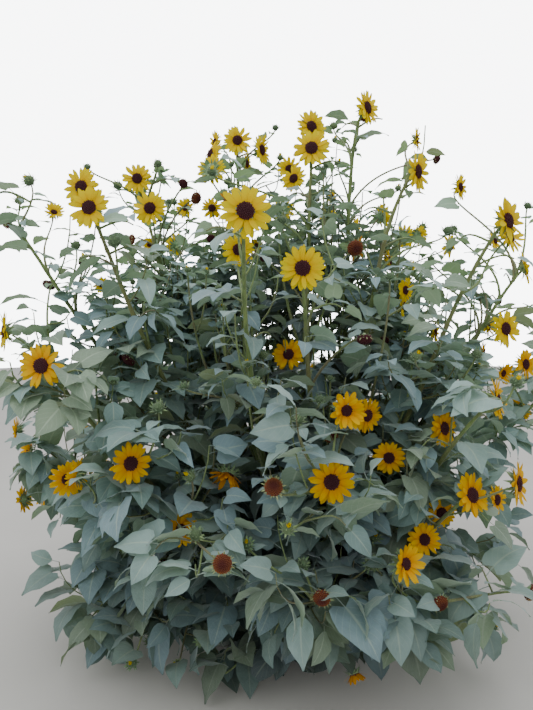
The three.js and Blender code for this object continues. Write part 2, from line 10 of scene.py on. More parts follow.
import json
import logging
import math
from dataclasses import dataclass, field
from enum import Enum
from typing import Any, Iterator, Sequence

import bmesh
import bpy
import numpy as np
from bpy.types import Material, Mesh, Node, NodeSocket, NodeTree, Object
from mathutils import Matrix, Quaternion, Vector
from mathutils.kdtree import KDTree

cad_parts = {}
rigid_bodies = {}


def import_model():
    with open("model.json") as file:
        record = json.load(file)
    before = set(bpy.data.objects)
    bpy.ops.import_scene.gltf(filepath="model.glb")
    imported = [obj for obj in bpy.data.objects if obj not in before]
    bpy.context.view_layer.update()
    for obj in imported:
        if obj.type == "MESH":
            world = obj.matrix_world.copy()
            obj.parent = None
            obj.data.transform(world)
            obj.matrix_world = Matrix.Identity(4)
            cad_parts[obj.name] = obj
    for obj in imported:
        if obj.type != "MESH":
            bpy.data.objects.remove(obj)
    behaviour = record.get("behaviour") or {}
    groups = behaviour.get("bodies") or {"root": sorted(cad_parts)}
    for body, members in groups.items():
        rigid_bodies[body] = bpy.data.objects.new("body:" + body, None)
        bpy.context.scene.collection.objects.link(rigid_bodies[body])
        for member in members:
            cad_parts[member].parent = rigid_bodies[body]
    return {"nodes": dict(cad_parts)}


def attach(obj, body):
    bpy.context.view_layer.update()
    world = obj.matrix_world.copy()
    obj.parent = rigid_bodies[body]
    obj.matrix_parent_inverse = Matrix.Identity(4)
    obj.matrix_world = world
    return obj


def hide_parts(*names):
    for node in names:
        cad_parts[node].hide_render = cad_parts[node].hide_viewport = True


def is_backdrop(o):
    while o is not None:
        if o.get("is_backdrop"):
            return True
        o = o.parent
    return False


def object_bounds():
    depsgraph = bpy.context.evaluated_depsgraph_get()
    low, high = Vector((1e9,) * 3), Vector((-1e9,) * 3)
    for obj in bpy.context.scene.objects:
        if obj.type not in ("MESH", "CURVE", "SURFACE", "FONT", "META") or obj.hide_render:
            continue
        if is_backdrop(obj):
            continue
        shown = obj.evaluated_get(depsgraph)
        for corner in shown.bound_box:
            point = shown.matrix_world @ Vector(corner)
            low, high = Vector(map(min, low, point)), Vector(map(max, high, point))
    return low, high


log = logging.getLogger("sunflower_plant")

METRES = 0.001
PLANT_HEIGHT = 2250.0
UP = Vector((0.0, 0.0, 1.0))
AHEAD = Vector((1.0, 0.0, 0.0))
BODY = "root"

Colour = tuple[float, float, float]
Spot = tuple[float, float, float]
Pair = tuple[float, float]
Draws = np.random.Generator


def lerp(low: float, high: float, share: float) -> float:
    """The number a share of the way from low to high."""
    return low * (1.0 - share) + high * share


def clamp(value: float, low: float = 0.0, high: float = 1.0) -> float:
    """A number held between two others."""
    return min(high, max(low, value))


def ramp(value: float, low: float, high: float) -> float:
    """How far a number is on the way from low to high, from 0 to 1."""
    return clamp((value - low) / (high - low))


def level(bearing: float) -> Vector:
    """A level unit vector at a bearing in degrees: 0 is -Y and 90 is +X."""
    angle = math.radians(bearing)
    return Vector((math.sin(angle), -math.cos(angle), 0.0))


def tilted(flat: Vector, elevation: float) -> Vector:
    """A level unit vector raised by an elevation in degrees."""
    angle = math.radians(elevation)
    return flat * math.cos(angle) + UP * math.sin(angle)


def aim(bearing: float, elevation: float) -> Vector:
    """A unit vector at a bearing, raised by an elevation in degrees."""
    return tilted(level(bearing), elevation)


def bearing_of(point: Vector) -> float:
    """The bearing of a point from the middle of the plant, in degrees."""
    return math.degrees(math.atan2(point.x, -point.y))


class HeadKind(Enum):
    """What stands at the end of a stem or twig."""

    BLOOM = "bloom"
    BUD = "bud"
    SPENT = "spent"


class HeadAge(Enum):
    """The age of a bloom: how far its outer and inner rays lean to the front, in degrees."""

    YOUNG = (22.0, 34.0)
    OPEN = (0.0, 9.0)
    OLD = (-22.0, -6.0)
    WILTED = (38.0, 62.0)


@dataclass(frozen=True)
class Head:
    """A flower head: its middle, its width, the bearing that it faces and how far it looks up."""

    kind: HeadKind
    at: Vector
    across: float
    turn: float
    nod: float

    def facing(self) -> Vector:
        """The unit vector that the head faces along."""
        return aim(self.turn, self.nod)

    def radius(self) -> float:
        """Half the head's width."""
        return self.across / 2.0


def bloom(x: float, y: float, z: float, across: float, turn: float, nod: float) -> Head:
    """A flower in bloom."""
    return Head(HeadKind.BLOOM, Vector((x, y, z)), across, turn, nod)


def bud(x: float, y: float, z: float, across: float, turn: float, nod: float) -> Head:
    """A green bud."""
    return Head(HeadKind.BUD, Vector((x, y, z)), across, turn, nod)


def spent(x: float, y: float, z: float, across: float, turn: float, nod: float) -> Head:
    """A spent head that has dropped its rays."""
    return Head(HeadKind.SPENT, Vector((x, y, z)), across, turn, nod)


@dataclass(frozen=True)
class Path:
    """A cubic Bezier path, in millimetres."""

    start: Vector
    leave: Vector
    arrive: Vector
    end: Vector

    def point(self, t: float) -> Vector:
        """The point at share t.

        Args:
            t: the share.

        Returns:
            The point.
        """
        s = 1.0 - t
        near = self.start * (s * s * s) + self.leave * (3.0 * s * s * t)
        return near + self.arrive * (3.0 * s * t * t) + self.end * (t * t * t)

    def tangent(self, t: float) -> Vector:
        """The unit direction of the path at share t.

        Args:
            t: the share.

        Returns:
            The direction.
        """
        s = 1.0 - t
        slope = (self.leave - self.start) * (s * s) + (self.arrive - self.leave) * (2.0 * s * t)
        return (slope + (self.end - self.arrive) * (t * t)).normalized()

    def length(self) -> float:
        """The length of the path, over 200 equal steps of t."""
        points = [self.point(i / 200.0) for i in range(201)]
        return sum((b - a).length for a, b in zip(points, points[1:]))


@dataclass(frozen=True)
class Twig:
    """A side twig of a stem, and the head at its end."""

    path: Path
    head: Head


@dataclass(frozen=True)
class LeafPlace:
    """Where a packed shoot has one large leaf, which stands for a spray of real ones."""

    base: Vector
    away: Vector
    elbow: Vector
    tip: Vector
    length: float
    droop: float


@dataclass
class Stem:
    """A stem of the plant: its name, the bare share below its foliage, and the heads that it carries."""

    name: str
    bare: float
    heads: list[Head]
    path: Path | None = None
    length: float = 0.0
    twigs: list[Twig] = field(default_factory=list)
    places: list[LeafPlace] = field(default_factory=list)


def plant_stems() -> list[Stem]:
    """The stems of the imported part. The first head ends the stem, and the rest end twigs of it.

    Returns:
        The stems.
    """
    return [
        Stem("topmost", 0.4, [
            bloom(250, -160, 2180, 135, 72, 5), bud(145, 60, 2190, 42, 20, 60),
        ]),
        Stem("top_mid", 0.44, [
            bloom(20, -270, 1990, 140, -5, 8), bloom(-30, 60, 1960, 120, -30, 10),
        ]),
        Stem("top_left", 0.42, [
            bloom(-280, 110, 2140, 130, 5, 8), bloom(-170, -50, 2050, 125, 95, 0),
            bloom(-390, 0, 2050, 120, -55, 20), bloom(-370, -160, 1940, 120, 165, 0),
        ]),
        Stem("upper_left", 0.4, [
            bloom(-710, 20, 1950, 130, 5, 5), bloom(-610, -200, 1780, 135, 0, 5),
            bud(-620, 30, 2020, 42, 40, 70),
        ]),
        Stem("left_twin", 0.36, [
            bloom(-700, -660, 1690, 130, -4, 8), bloom(-790, -460, 1800, 130, -10, 5),
        ]),
        Stem("far_left", 0.36, [
            spent(-1090, -380, 1700, 68, -75, -10), bloom(-1000, -170, 1770, 85, 30, 35),
            bud(-1160, -120, 1830, 45, 0, 60),
        ]),
        Stem("big_head", 0.4, [
            bloom(-210, -810, 1650, 152, 12, 10), bloom(-250, -430, 1590, 118, 8, -5),
        ]),
        Stem("front_mid", 0.36, [
            bloom(-40, -700, 1500, 140, 0, 6), spent(170, -390, 1600, 68, 10, -20),
            spent(170, -600, 1280, 60, 5, -70),
        ]),
        Stem("upper_right", 0.4, [
            bloom(380, -430, 1860, 140, 78, 0), bloom(410, -300, 2010, 90, 100, 5),
            bud(560, -230, 1690, 50, 30, 60),
        ]),
        Stem("right_far", 0.36, [bloom(600, -660, 1650, 140, 58, 10)]),
        Stem("right_high", 0.34, [
            bloom(840, -280, 1540, 130, 95, 15), bloom(700, -440, 1310, 135, 30, 5),
        ]),
        Stem("left_big", 0.3, [
            bloom(-850, -690, 1200, 140, -5, 6), spent(-1020, -190, 1480, 60, -40, -60),
        ]),
        Stem("left_edge", 0.24, [
            bloom(-1230, -60, 860, 130, -70, 0), bloom(-1170, -150, 590, 110, -100, -10),
            bud(-900, 60, 200, 45, -90, 30),
        ]),
        Stem("left_low", 0.18, [
            bloom(-840, -520, 790, 125, 28, 0), bud(-860, -330, 170, 42, -30, 30),
            bud(-620, -560, 150, 42, -10, 30),
        ]),
        Stem("front_left", 0.22, [
            bloom(-570, -720, 900, 130, 50, 5), bloom(-430, -640, 660, 115, 20, 12),
            spent(-270, -930, 680, 62, 0, 12), bloom(-280, -610, 830, 125, -10, -45),
        ]),
        Stem("front", 0.22, [
            bloom(40, -810, 870, 135, 2, 5), spent(-130, -860, 870, 62, 0, 40),
            bud(-90, -880, 760, 42, 10, 50), bloom(100, -690, 1060, 125, 12, 0),
            bloom(190, -560, 1020, 120, 50, -5),
        ]),
        Stem("right_mid", 0.28, [
            bloom(590, -640, 1090, 135, 92, 10), bloom(460, -530, 970, 130, 58, 10),
            bloom(270, -540, 870, 112, -10, 5),
        ]),
        Stem("right_low", 0.22, [
            bloom(500, -690, 790, 140, 48, 18), bloom(460, -520, 670, 110, 10, 0),
            bloom(640, -700, 830, 140, 82, 5), bud(700, -420, 200, 45, 60, 30),
        ]),
        Stem("right_side", 0.26, [
            bloom(1190, -20, 1120, 135, 80, 10), bloom(960, -60, 1150, 130, 50, 5),
            bud(850, -60, 250, 45, 90, 30),
        ]),
        Stem("front_low", 0.18, [
            spent(10, -850, 540, 60, -10, -15), bloom(150, -590, 130, 92, 30, -55),
        ]),
        Stem("right_skirt", 0.18, [
            spent(380, -770, 480, 58, 20, -15), bud(200, -690, 570, 42, 10, 40),
            spent(650, -780, 520, 60, 60, -25),
        ]),
        Stem("back_right_high", 0.42, [
            bloom(600, 620, 1790, 135, 140, 12), bloom(760, 330, 1700, 120, 100, 8),
        ]),
        Stem("back_high", 0.42, [
            bloom(-60, 640, 1940, 135, 175, 10), bloom(180, 560, 1880, 125, 150, 15),
        ]),
        Stem("back_left_high", 0.42, [
            bloom(-640, 580, 1740, 130, -145, 10), spent(-820, 330, 1640, 62, -110, -20),
        ]),
        Stem("back_right", 0.22, [
            bloom(820, 860, 1080, 135, 135, 8), bud(900, 420, 720, 45, 100, 50),
            spent(620, 640, 430, 60, 140, -20),
        ]),
        Stem("back", 0.22, [
            bloom(30, 1080, 1150, 135, 180, 8), bloom(-260, 900, 830, 120, -160, 5),
            spent(160, 820, 420, 60, 175, -20),
        ]),
        Stem("back_low_right", 0.22, [
            bloom(420, 1010, 640, 125, 160, 10), spent(560, 900, 330, 60, 120, -20),
            bud(250, 880, 220, 45, 170, 30),
        ]),
        Stem("back_low_left", 0.22, [
            bloom(-450, 990, 620, 125, -160, 8), bloom(-560, 800, 980, 120, -140, 10),
            bud(-350, 820, 200, 45, 170, 30),
        ]),
        Stem("back_left", 0.22, [
            bloom(-880, 740, 1120, 130, -135, 8), bloom(-1010, 330, 760, 120, -100, 5),
            bud(-640, 640, 420, 45, -140, 40),
        ]),
    ]


def small_heads() -> list[Head]:
    """Smaller and half-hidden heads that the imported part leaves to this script.

    Returns:
        The heads.
    """
    left = [
        spent(-1040, -350, 1080, 45, -30, -40), bloom(-1080, 300, 790, 118, -30, 0),
        bloom(-930, 80, 680, 118, 5, 5), bloom(-1170, 70, 530, 112, -15, 0),
        spent(-860, -250, 1560, 46, -30, -55), bud(-900, -60, 1980, 36, -40, 60),
        spent(-690, -180, 1660, 50, 100, -10), spent(-640, -260, 1420, 52, -10, -50),
        bloom(-940, 0, 1600, 72, -60, 10), bloom(-900, 100, 1500, 80, 20, -20),
        bud(-860, -300, 90, 40, -40, 40), bud(-590, -420, 140, 36, -30, 40),
        bud(-380, -560, 230, 36, -20, 40), bud(-330, -540, 80, 34, -10, 40),
        bud(-470, -510, 110, 34, -30, 40),
    ]
    crown = [
        bloom(-40, 280, 2060, 118, 10, 0), bloom(-240, 150, 2050, 105, 70, 0),
        bloom(-520, 150, 1850, 100, -30, 10), bloom(-400, 150, 1850, 100, 10, 5),
        bloom(160, 250, 1920, 95, 60, 0), bloom(290, 350, 1810, 85, 60, 10),
        bloom(-200, 300, 1700, 80, 0, 0), bloom(-700, 200, 1690, 75, 0, 10),
        spent(-440, -100, 1840, 58, 60, -20), spent(-390, 0, 1690, 44, 10, -30),
        spent(-160, -100, 1600, 46, 30, -30), spent(-20, 0, 1680, 46, 40, -40),
        spent(300, -260, 1820, 44, 10, -50), spent(-480, -180, 1880, 44, -20, -40),
        spent(560, -60, 2010, 48, 60, -20), bud(-110, 130, 2205, 36, -20, 70),
        bud(180, 300, 2205, 36, 20, 70), bud(-640, 100, 2030, 38, -20, 65), bud(-570, 0, 1850, 34, -20, 70),
        bud(-90, 50, 2050, 34, 0, 70), bud(160, 0, 2010, 40, 20, 65), bud(70, 150, 1990, 34, 10, 70),
        bud(240, 100, 2100, 38, 20, 70), bud(-310, -100, 1910, 38, 0, 55), bud(-360, -250, 1910, 44, 10, 45),
        bud(60, -50, 1850, 38, 10, 70), bud(70, 0, 1700, 30, 10, 60), bud(-310, -300, 1820, 40, 0, 60),
    ]
    right = [
        bloom(530, -340, 610, 110, 30, -10), bloom(750, -300, 640, 120, 60, 5),
        bloom(790, 630, 1260, 100, 60, 10), bloom(720, 930, 1650, 100, 120, 10),
        bloom(640, -120, 1880, 105, 70, 0), bloom(880, 100, 1700, 118, 75, 5),
        bloom(1010, -120, 1420, 120, 70, 0), bloom(350, -150, 1580, 95, 100, 10),
        bloom(390, -250, 1456, 100, 60, 0), bloom(375, -280, 1395, 90, 100, -10),
        bloom(478, -100, 1690, 85, 120, 10), bloom(810, 450, 1620, 80, 60, 10),
        bloom(493, -300, 1296, 95, 100, 0), bloom(700, -250, 1210, 100, 100, 0),
        bloom(870, -50, 1110, 105, 50, -5), bloom(780, -100, 1310, 90, 60, 5),
        spent(310, -250, 1260, 46, 10, -30), spent(610, -200, 1220, 52, 20, -50),
        spent(410, -150, 1140, 50, 20, -30), spent(860, 0, 1420, 46, 40, -20),
        bud(630, -90, 1720, 38, 40, 60), bud(900, -160, 1800, 36, 60, 60), bud(440, 100, 1930, 36, 30, 65),
        bud(550, -50, 1600, 38, 30, 65), bud(780, 0, 1530, 38, 40, 60), bud(550, 100, 1570, 34, 0, 65),
        bud(340, 0, 1820, 34, 30, 65), bud(740, 100, 1560, 30, 30, 65),
    ]
    front = [
        bloom(-370, 790, 1110, 115, 170, 10), spent(-130, -820, 860, 56, 20, 10),
        bud(20, -640, 1090, 34, -20, 55), bud(-180, -760, 1160, 34, 10, 60),
        bud(-420, -620, 1130, 34, -20, 60), bud(330, -640, 1230, 36, 30, 50),
        bud(180, -700, 570, 44, 20, 40), bud(120, -720, 680, 40, 10, 50), bud(-360, -800, 710, 44, 20, 45),
        bud(-210, -780, 670, 38, 0, 50), bud(-40, -800, 620, 34, 0, 45),
    ]
    return left + crown + right + front


class Dice:
    """The source's seeded dice."""

    SIZE = 2147483647

    def __init__(self, seed: int) -> None:
        """Starts the dice.

        Args:
            seed: a whole number, the same one for the same rolls.
        """
        self.state = (seed * 7919 + 104729) % Dice.SIZE
        for _ in range(3):
            self.roll()

    def roll(self) -> float:
        """The next number from 0 to 1."""
        self.state = (self.state * 48271) % Dice.SIZE
        return self.state / Dice.SIZE

    def between(self, low: float, high: float) -> float:
        """The next number from low to high."""
        return lerp(low, high, self.roll())


class PackedCorners:
    """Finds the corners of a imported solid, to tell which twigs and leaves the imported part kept."""

    def __init__(self, node: Object) -> None:
        """Reads the corners.

        Args:
            node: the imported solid.
        """
        corners = node.data.vertices
        self.tree = KDTree(len(corners))
        for i, corner in enumerate(corners):
            self.tree.insert(corner.co / METRES, i)
        self.tree.balance()

    def has(self, point: Vector, within: float = 0.8) -> bool:
        """Whether the solid has a corner within some millimetres of a point."""
        return self.tree.find(point)[2] <= within

    def ring_at(self, centre: Vector, radius: float, slack: float = 0.25) -> int:
        """How many corners lie on a ring of a radius round a point."""
        found = self.tree.find_range(centre, radius + slack)
        return len({tuple(round(x, 1) for x in co) for co, _, far in found if far > radius - slack})


@dataclass
class GrowthRule:
    """The source's growth rule, in millimetres and degrees."""

    foot_height: float = 310.0
    ring_first: float = 62.0
    ring_rise: float = 68.0
    ring_stems: int = 8
    ring_spread: float = 37.0
    ring_rounds: int = 200
    stem_foot_radius: float = 14.0
    stem_head_radius: float = 4.5
    stem_start: float = 26.0
    stem_handle: float = 0.4
    stem_flatter: float = 13.0
    stem_flattest: float = 7.0
    neck: float = 1.1
    neck_drop: float = 0.5
    stem_turns: tuple[float, ...] = (0.0, 4.0, -4.0, 8.0, -8.0, 12.0, -12.0)
    twig_along: float = 0.7
    twig_towards: float = 0.5
    twig_handle: float = 0.45
    twig_drop: float = 210.0
    twig_samples: int = 24
    twig_first: float = 0.02
    twig_last: float = 0.9
    twig_leaf_gap: float = 150.0
    twig_leaves: Pair = (0.2, 0.88)
    wild_length: float = 330.0
    wild_lengths: Pair = (0.8, 1.15)
    wild_high: float = 0.6
    wild_along: float = 0.5
    wild_outward: float = 0.85
    wild_reach: float = 0.62
    wild_rise: float = 0.45
    wild_handle: float = 0.4
    wild_turn: float = 55.0
    wild_sizes: Pair = (0.88, 1.12)
    wild_kinds: tuple[tuple[HeadKind, float, float, float, float], ...] = (
        (HeadKind.BLOOM, 0.32, 118.0, 0.0, 25.0),
        (HeadKind.BUD, 0.7, 46.0, 35.0, 80.0),
        (HeadKind.SPENT, 1.0, 60.0, -60.0, -10.0),
    )
    node_gap_low: float = 56.0
    node_gap_high: float = 185.0
    node_first: float = 0.6
    node_last: float = 0.93
    node_turn: float = 137.5
    node_stem_turn: float = 77.0
    twig_every: int = 3
    leaf_below: float = 16.0
    leaf_tries: int = 8
    leaf_steepest: float = 0.35
    leaf_low: float = 315.0
    leaf_high: float = 175.0
    leaf_elbow: float = 0.42
    leaf_rise: float = 26.0
    shoots: int = 5
    shoots_above: float = 1400.0
    shoots_from: Pair = (0.35, 0.95)
    shoots_to: Pair = (0.3, 0.7)
    shoots_aside: Pair = (50.0, 190.0)
    shoots_inward: float = 0.22
    shoots_bend: float = 0.4
    droop_low: float = -60.0
    droop_high: float = -16.0
    leaf_lowest: float = 5.0
    front_of: dict[HeadKind, float] = field(default_factory=lambda: {
        HeadKind.BLOOM: 0.24,
        HeadKind.BUD: 0.8,
        HeadKind.SPENT: 0.72,
    })

    def grow(self, nodes: dict[str, Object]) -> list[Stem]:
        """Grows the stems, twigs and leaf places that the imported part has.

        Args:
            nodes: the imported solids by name.

        Returns:
            The stems, with their paths, twigs and leaf places.
        """
        stems = plant_stems()
        self.place_stems(stems, nodes)
        for index, stem in enumerate(stems):
            corners = PackedCorners(nodes[f"shoot_{stem.name}"])
            stem.twigs = [self.twig_to(stem, head) for head in stem.heads[1:]]
            shares = self.node_shares(stem)
            for k, t in enumerate(shares):
                if k % self.twig_every != 1:
                    continue
                turn = self.node_turn * k + self.node_stem_turn * index
                twig = self.twig_at(stem, t, turn, Dice(100 * index + k))
                front = twig.head.facing() * (self.front_of[twig.head.kind] * twig.head.radius())
                if corners.has(twig.head.at + front):
                    stem.twigs.append(twig)
            stem.places = list(self.leaf_places(stem, index, shares, corners))
        return stems

    def elevation_of(self, stem: Stem) -> float:
        """The elevation of a stem's first head above the foot."""
        tip = stem.heads[0].at
        return math.degrees(math.atan2(tip.z - self.foot_height / 2.0, math.hypot(tip.x, tip.y)))

    def path_to(self, head: Head, start: Vector, handle: Vector) -> Path:
        """The path of a twig or stem that arrives from behind its head and a little below it.

        Args:
            head: the head.
            start: where the path starts.
            handle: the point that it leaves towards.

        Returns:
            The path.
        """
        behind = head.at - head.facing() * (self.neck * head.across)
        behind = behind - UP * (self.neck_drop * head.across)
        return Path(start, handle, behind, head.at)

    def stem_path(self, stem: Stem, bearing: float, height: float) -> Path:
        """The path of a stem that leaves the foot at a bearing and a height.

        Args:
            stem: the stem.
            bearing: the bearing.
            height: the height.

        Returns:
            The path.
        """
        start = level(bearing) * self.stem_start + UP * height
        reach = (stem.heads[0].at - start).length
        slope = max(self.stem_flattest, self.elevation_of(stem) - self.stem_flatter)
        handle = start + aim(bearing, slope) * (self.stem_handle * reach)
        return self.path_to(stem.heads[0], start, handle)

    def spread_bearings(self, bearings: Sequence[float]) -> list[float]:
        """Pushes the bearings of one ring apart, until neighbours are the ring's spread from each other.

        Args:
            bearings: the bearings that the stems would have, in degrees.

        Returns:
            The bearings pushed apart, in the same order.
        """
        order = sorted(range(len(bearings)), key=lambda i: bearings[i])
        turned = [bearings[i] for i in order]
        for _ in range(self.ring_rounds):
            for i in range(len(turned)):
                following = (i + 1) % len(turned)
                lap = 360.0 if following == 0 else 0.0
                short = self.ring_spread - (turned[following] + lap - turned[i])
                if short > 0:
                    turned[i] -= short / 2.0
                    turned[following] += short / 2.0
        spread_out = [0.0] * len(turned)
        for place, i in enumerate(order):
            spread_out[i] = turned[place]
        return spread_out

    def place_stems(self, stems: list[Stem], nodes: dict[str, Object]) -> None:
        """Gives every stem its place on the foot and its path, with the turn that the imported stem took.

        Args:
            stems: the stems, which get their paths and lengths.
            nodes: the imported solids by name.
        """
        order = sorted(stems, key=self.elevation_of)
        for first in range(0, len(order), self.ring_stems):
            ring = order[first:first + self.ring_stems]
            height = self.ring_first + self.ring_rise * first / self.ring_stems
            bearings = self.spread_bearings([bearing_of(stem.heads[0].at) for stem in ring])
            for stem, bearing in zip(ring, bearings):
                corners = PackedCorners(nodes[f"stem_{stem.name}"])
                share = stem.bare * 2.0 / 3.0
                radius = lerp(self.stem_foot_radius, self.stem_radius(stem.bare), 2.0 / 3.0)
                paths = [self.stem_path(stem, bearing + turn, height) for turn in self.stem_turns]
                found = [corners.ring_at(path.point(share), radius) for path in paths]
                best = found.index(max(found))
                if found[best] < 4:
                    raise ValueError(f"stem_{stem.name} isn't where the growth rule puts it")
                stem.path = paths[best]
                stem.length = stem.path.length()

    def stem_radius(self, share: float) -> float:
        """The radius of a packed stem at a share of its length."""
        return lerp(self.stem_foot_radius, self.stem_head_radius, share)

    def node_shares(self, stem: Stem) -> list[float]:
        """The shares of a stem where its nodes are, closer together low down than high up.

        Args:
            stem: the stem.

        Returns:
            The shares.
        """
        middle = stem.path.point((1.0 + stem.bare) / 2.0)
        gap = lerp(self.node_gap_low, self.node_gap_high, middle.z / PLANT_HEIGHT)
        count = math.floor(stem.length * (self.node_last - stem.bare) / gap)
        return [lerp(stem.bare, self.node_last, (k + self.node_first) / count) for k in range(count)]

    def outward_at(self, path: Path, t: float, turn: float) -> Vector:
        """The outward direction at a node, turned round the path by an angle in degrees.

        Args:
            path: the stem or twig.
            t: the share of it where the node is.
            turn: the angle.

        Returns:
            The direction, a unit vector.
        """
        along = path.tangent(t)
        side = along.cross(UP)
        if side.length < 0.05:
            side = AHEAD.copy()
        return Quaternion(along, math.radians(turn)) @ side.normalized()

    def twig_to(self, stem: Stem, head: Head) -> Twig:
        """A twig that ends in a head with a place of its own.

        Args:
            stem: the stem that the twig leaves.
            head: the head.

        Returns:
            The twig.
        """
        below = head.at - UP * self.twig_drop
        first = stem.bare + self.twig_first
        best = first
        for i in range(self.twig_samples + 1):
            t = lerp(first, self.twig_last, i / self.twig_samples)
            if (stem.path.point(t) - below).length < (stem.path.point(best) - below).length:
                best = t
        start = stem.path.point(best)
        reach = head.at - start
        lean = stem.path.tangent(best) * self.twig_along + reach.normalized() * self.twig_towards
        handle = start + lean.normalized() * (self.twig_handle * reach.length)
        return Twig(self.path_to(head, start, handle), head)

    def twig_at(self, stem: Stem, t: float, turn: float, dice: Dice) -> Twig:
        """A twig by the seeded rule, at a node of the stem.

        Args:
            stem: the stem.
            t: the share of it where the node is.
            turn: the way that the twig leaves, in degrees round the stem.
            dice: the rolls for its length and its head.

        Returns:
            The twig.
        """
        start = stem.path.point(t)
        outward = self.outward_at(stem.path, t, turn)
        lean = (stem.path.tangent(t) * self.wild_along + outward * self.wild_outward).normalized()
        share = (t - stem.bare) / (1.0 - stem.bare)
        length = self.wild_length * dice.between(*self.wild_lengths) * lerp(1.0, self.wild_high, share)
        end = start + lean * (self.wild_reach * length) + UP * (self.wild_rise * length)
        chance = dice.roll()
        kind, _, across, low, high = next(row for row in self.wild_kinds if chance < row[1])
        width = across * dice.between(*self.wild_sizes)
        faces = bearing_of(end) + dice.between(-self.wild_turn, self.wild_turn)
        head = Head(kind, end, width, faces, dice.between(low, high))
        handle = start + lean * (self.wild_handle * length)
        return Twig(self.path_to(head, start, handle), head)

    def side_shoots(self, stem: Stem, rng: Draws) -> list[Path]:
        """Upright side shoots of a tall stem, from low on it and close beside it.

        Args:
            stem: the stem.
            rng: the random draws.

        Returns:
            The paths of the side shoots, none where the stem is low.
        """
        if stem.heads[0].at.z < self.shoots_above:
            return []
        paths = []
        for _ in range(self.shoots):
            start = stem.path.point(stem.bare * rng.uniform(*self.shoots_from))
            top = stem.path.point(stem.bare + (0.98 - stem.bare) * rng.uniform(*self.shoots_to))
            aside = level(rng.uniform(0.0, 360.0)) * rng.uniform(*self.shoots_aside)
            inward = Vector((top.x, top.y, 0.0)) * -self.shoots_inward
            end = top + aside + inward
            bend = UP * ((end - start).length * self.shoots_bend)
            paths.append(Path(start, start + bend * 0.8 + aside * 0.6, end - bend, end))
        return paths

    def add_small_heads(self, stems: Sequence[Stem], heads: Sequence[Head]) -> None:
        """Grows a twig to each of some more heads, from the stem that comes nearest.

        Args:
            stems: the stems.
            heads: the heads.
        """
        for head in heads:
            twigs = [self.twig_to(stem, head) for stem in stems]
            reaches = [(twig.path.end - twig.path.start).length for twig in twigs]
            nearest = reaches.index(min(reaches))
            stems[nearest].twigs.append(twigs[nearest])

    def leaf_places(
        self, stem: Stem, index: int, shares: Sequence[float], corners: PackedCorners
    ) -> Iterator[LeafPlace]:
        """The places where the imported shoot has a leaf.

        Args:
            stem: the stem, with its twigs.
            index: the stem's place in the list of stems.
            shares: the shares of the stem where its nodes are.
            corners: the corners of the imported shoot.

        Returns:
            The leaf places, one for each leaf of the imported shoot.
        """
        wanted = []
        for k, t in enumerate(shares):
            turn = self.node_turn * k + self.node_stem_turn * index + 180.0
            wanted.append((stem.path, t - self.leaf_below / stem.length, turn))
        for k, twig in enumerate(stem.twigs):
            count = max(1, math.floor(twig.path.length() / self.twig_leaf_gap))
            for i in range(count):
                t = lerp(*self.twig_leaves, (i + 0.5) / count)
                wanted.append((twig.path, t, self.node_turn * (k + i)))
        for path, t, turn in wanted:
            base = path.point(t)
            length = lerp(self.leaf_low, self.leaf_high, base.z / PLANT_HEIGHT)
            droop = self.droop_of(base, length)
            for attempt in range(self.leaf_tries):
                outward = self.outward_at(path, t, turn + 360.0 / self.leaf_tries * attempt)
                if math.hypot(outward.x, outward.y) < self.leaf_steepest:
                    continue
                away = Vector((outward.x, outward.y, 0.0)).normalized()
                elbow = base + tilted(away, self.leaf_rise) * (self.leaf_elbow * length)
                tip = elbow + tilted(away, droop) * ((1.0 - self.leaf_elbow) * length)
                if corners.has(tip):
                    yield LeafPlace(base, away, elbow, tip, length, droop)
                    break

    def droop_of(self, base: Vector, length: float) -> float:
        """How far a leaf droops beyond its elbow: more low down, though never into the ground.

        Args:
            base: where the leaf starts.
            length: its length.

        Returns:
            The angle, in degrees.
        """
        elbow = base.z + self.leaf_elbow * length * math.sin(math.radians(self.leaf_rise))
        least = (self.leaf_lowest - elbow) / ((1.0 - self.leaf_elbow) * length)
        least = math.degrees(math.asin(clamp(least, -1.0)))
        return max(lerp(self.droop_low, self.droop_high, base.z / PLANT_HEIGHT), least)


def linear(hex_code: str) -> Colour:
    """A display colour, written as six hex digits, as the linear colour that shaders take."""
    shares = [int(hex_code[i:i + 2], 16) / 255.0 for i in (0, 2, 4)]
    return tuple(c / 12.92 if c <= 0.04045 else ((c + 0.055) / 1.055) ** 2.4 for c in shares)


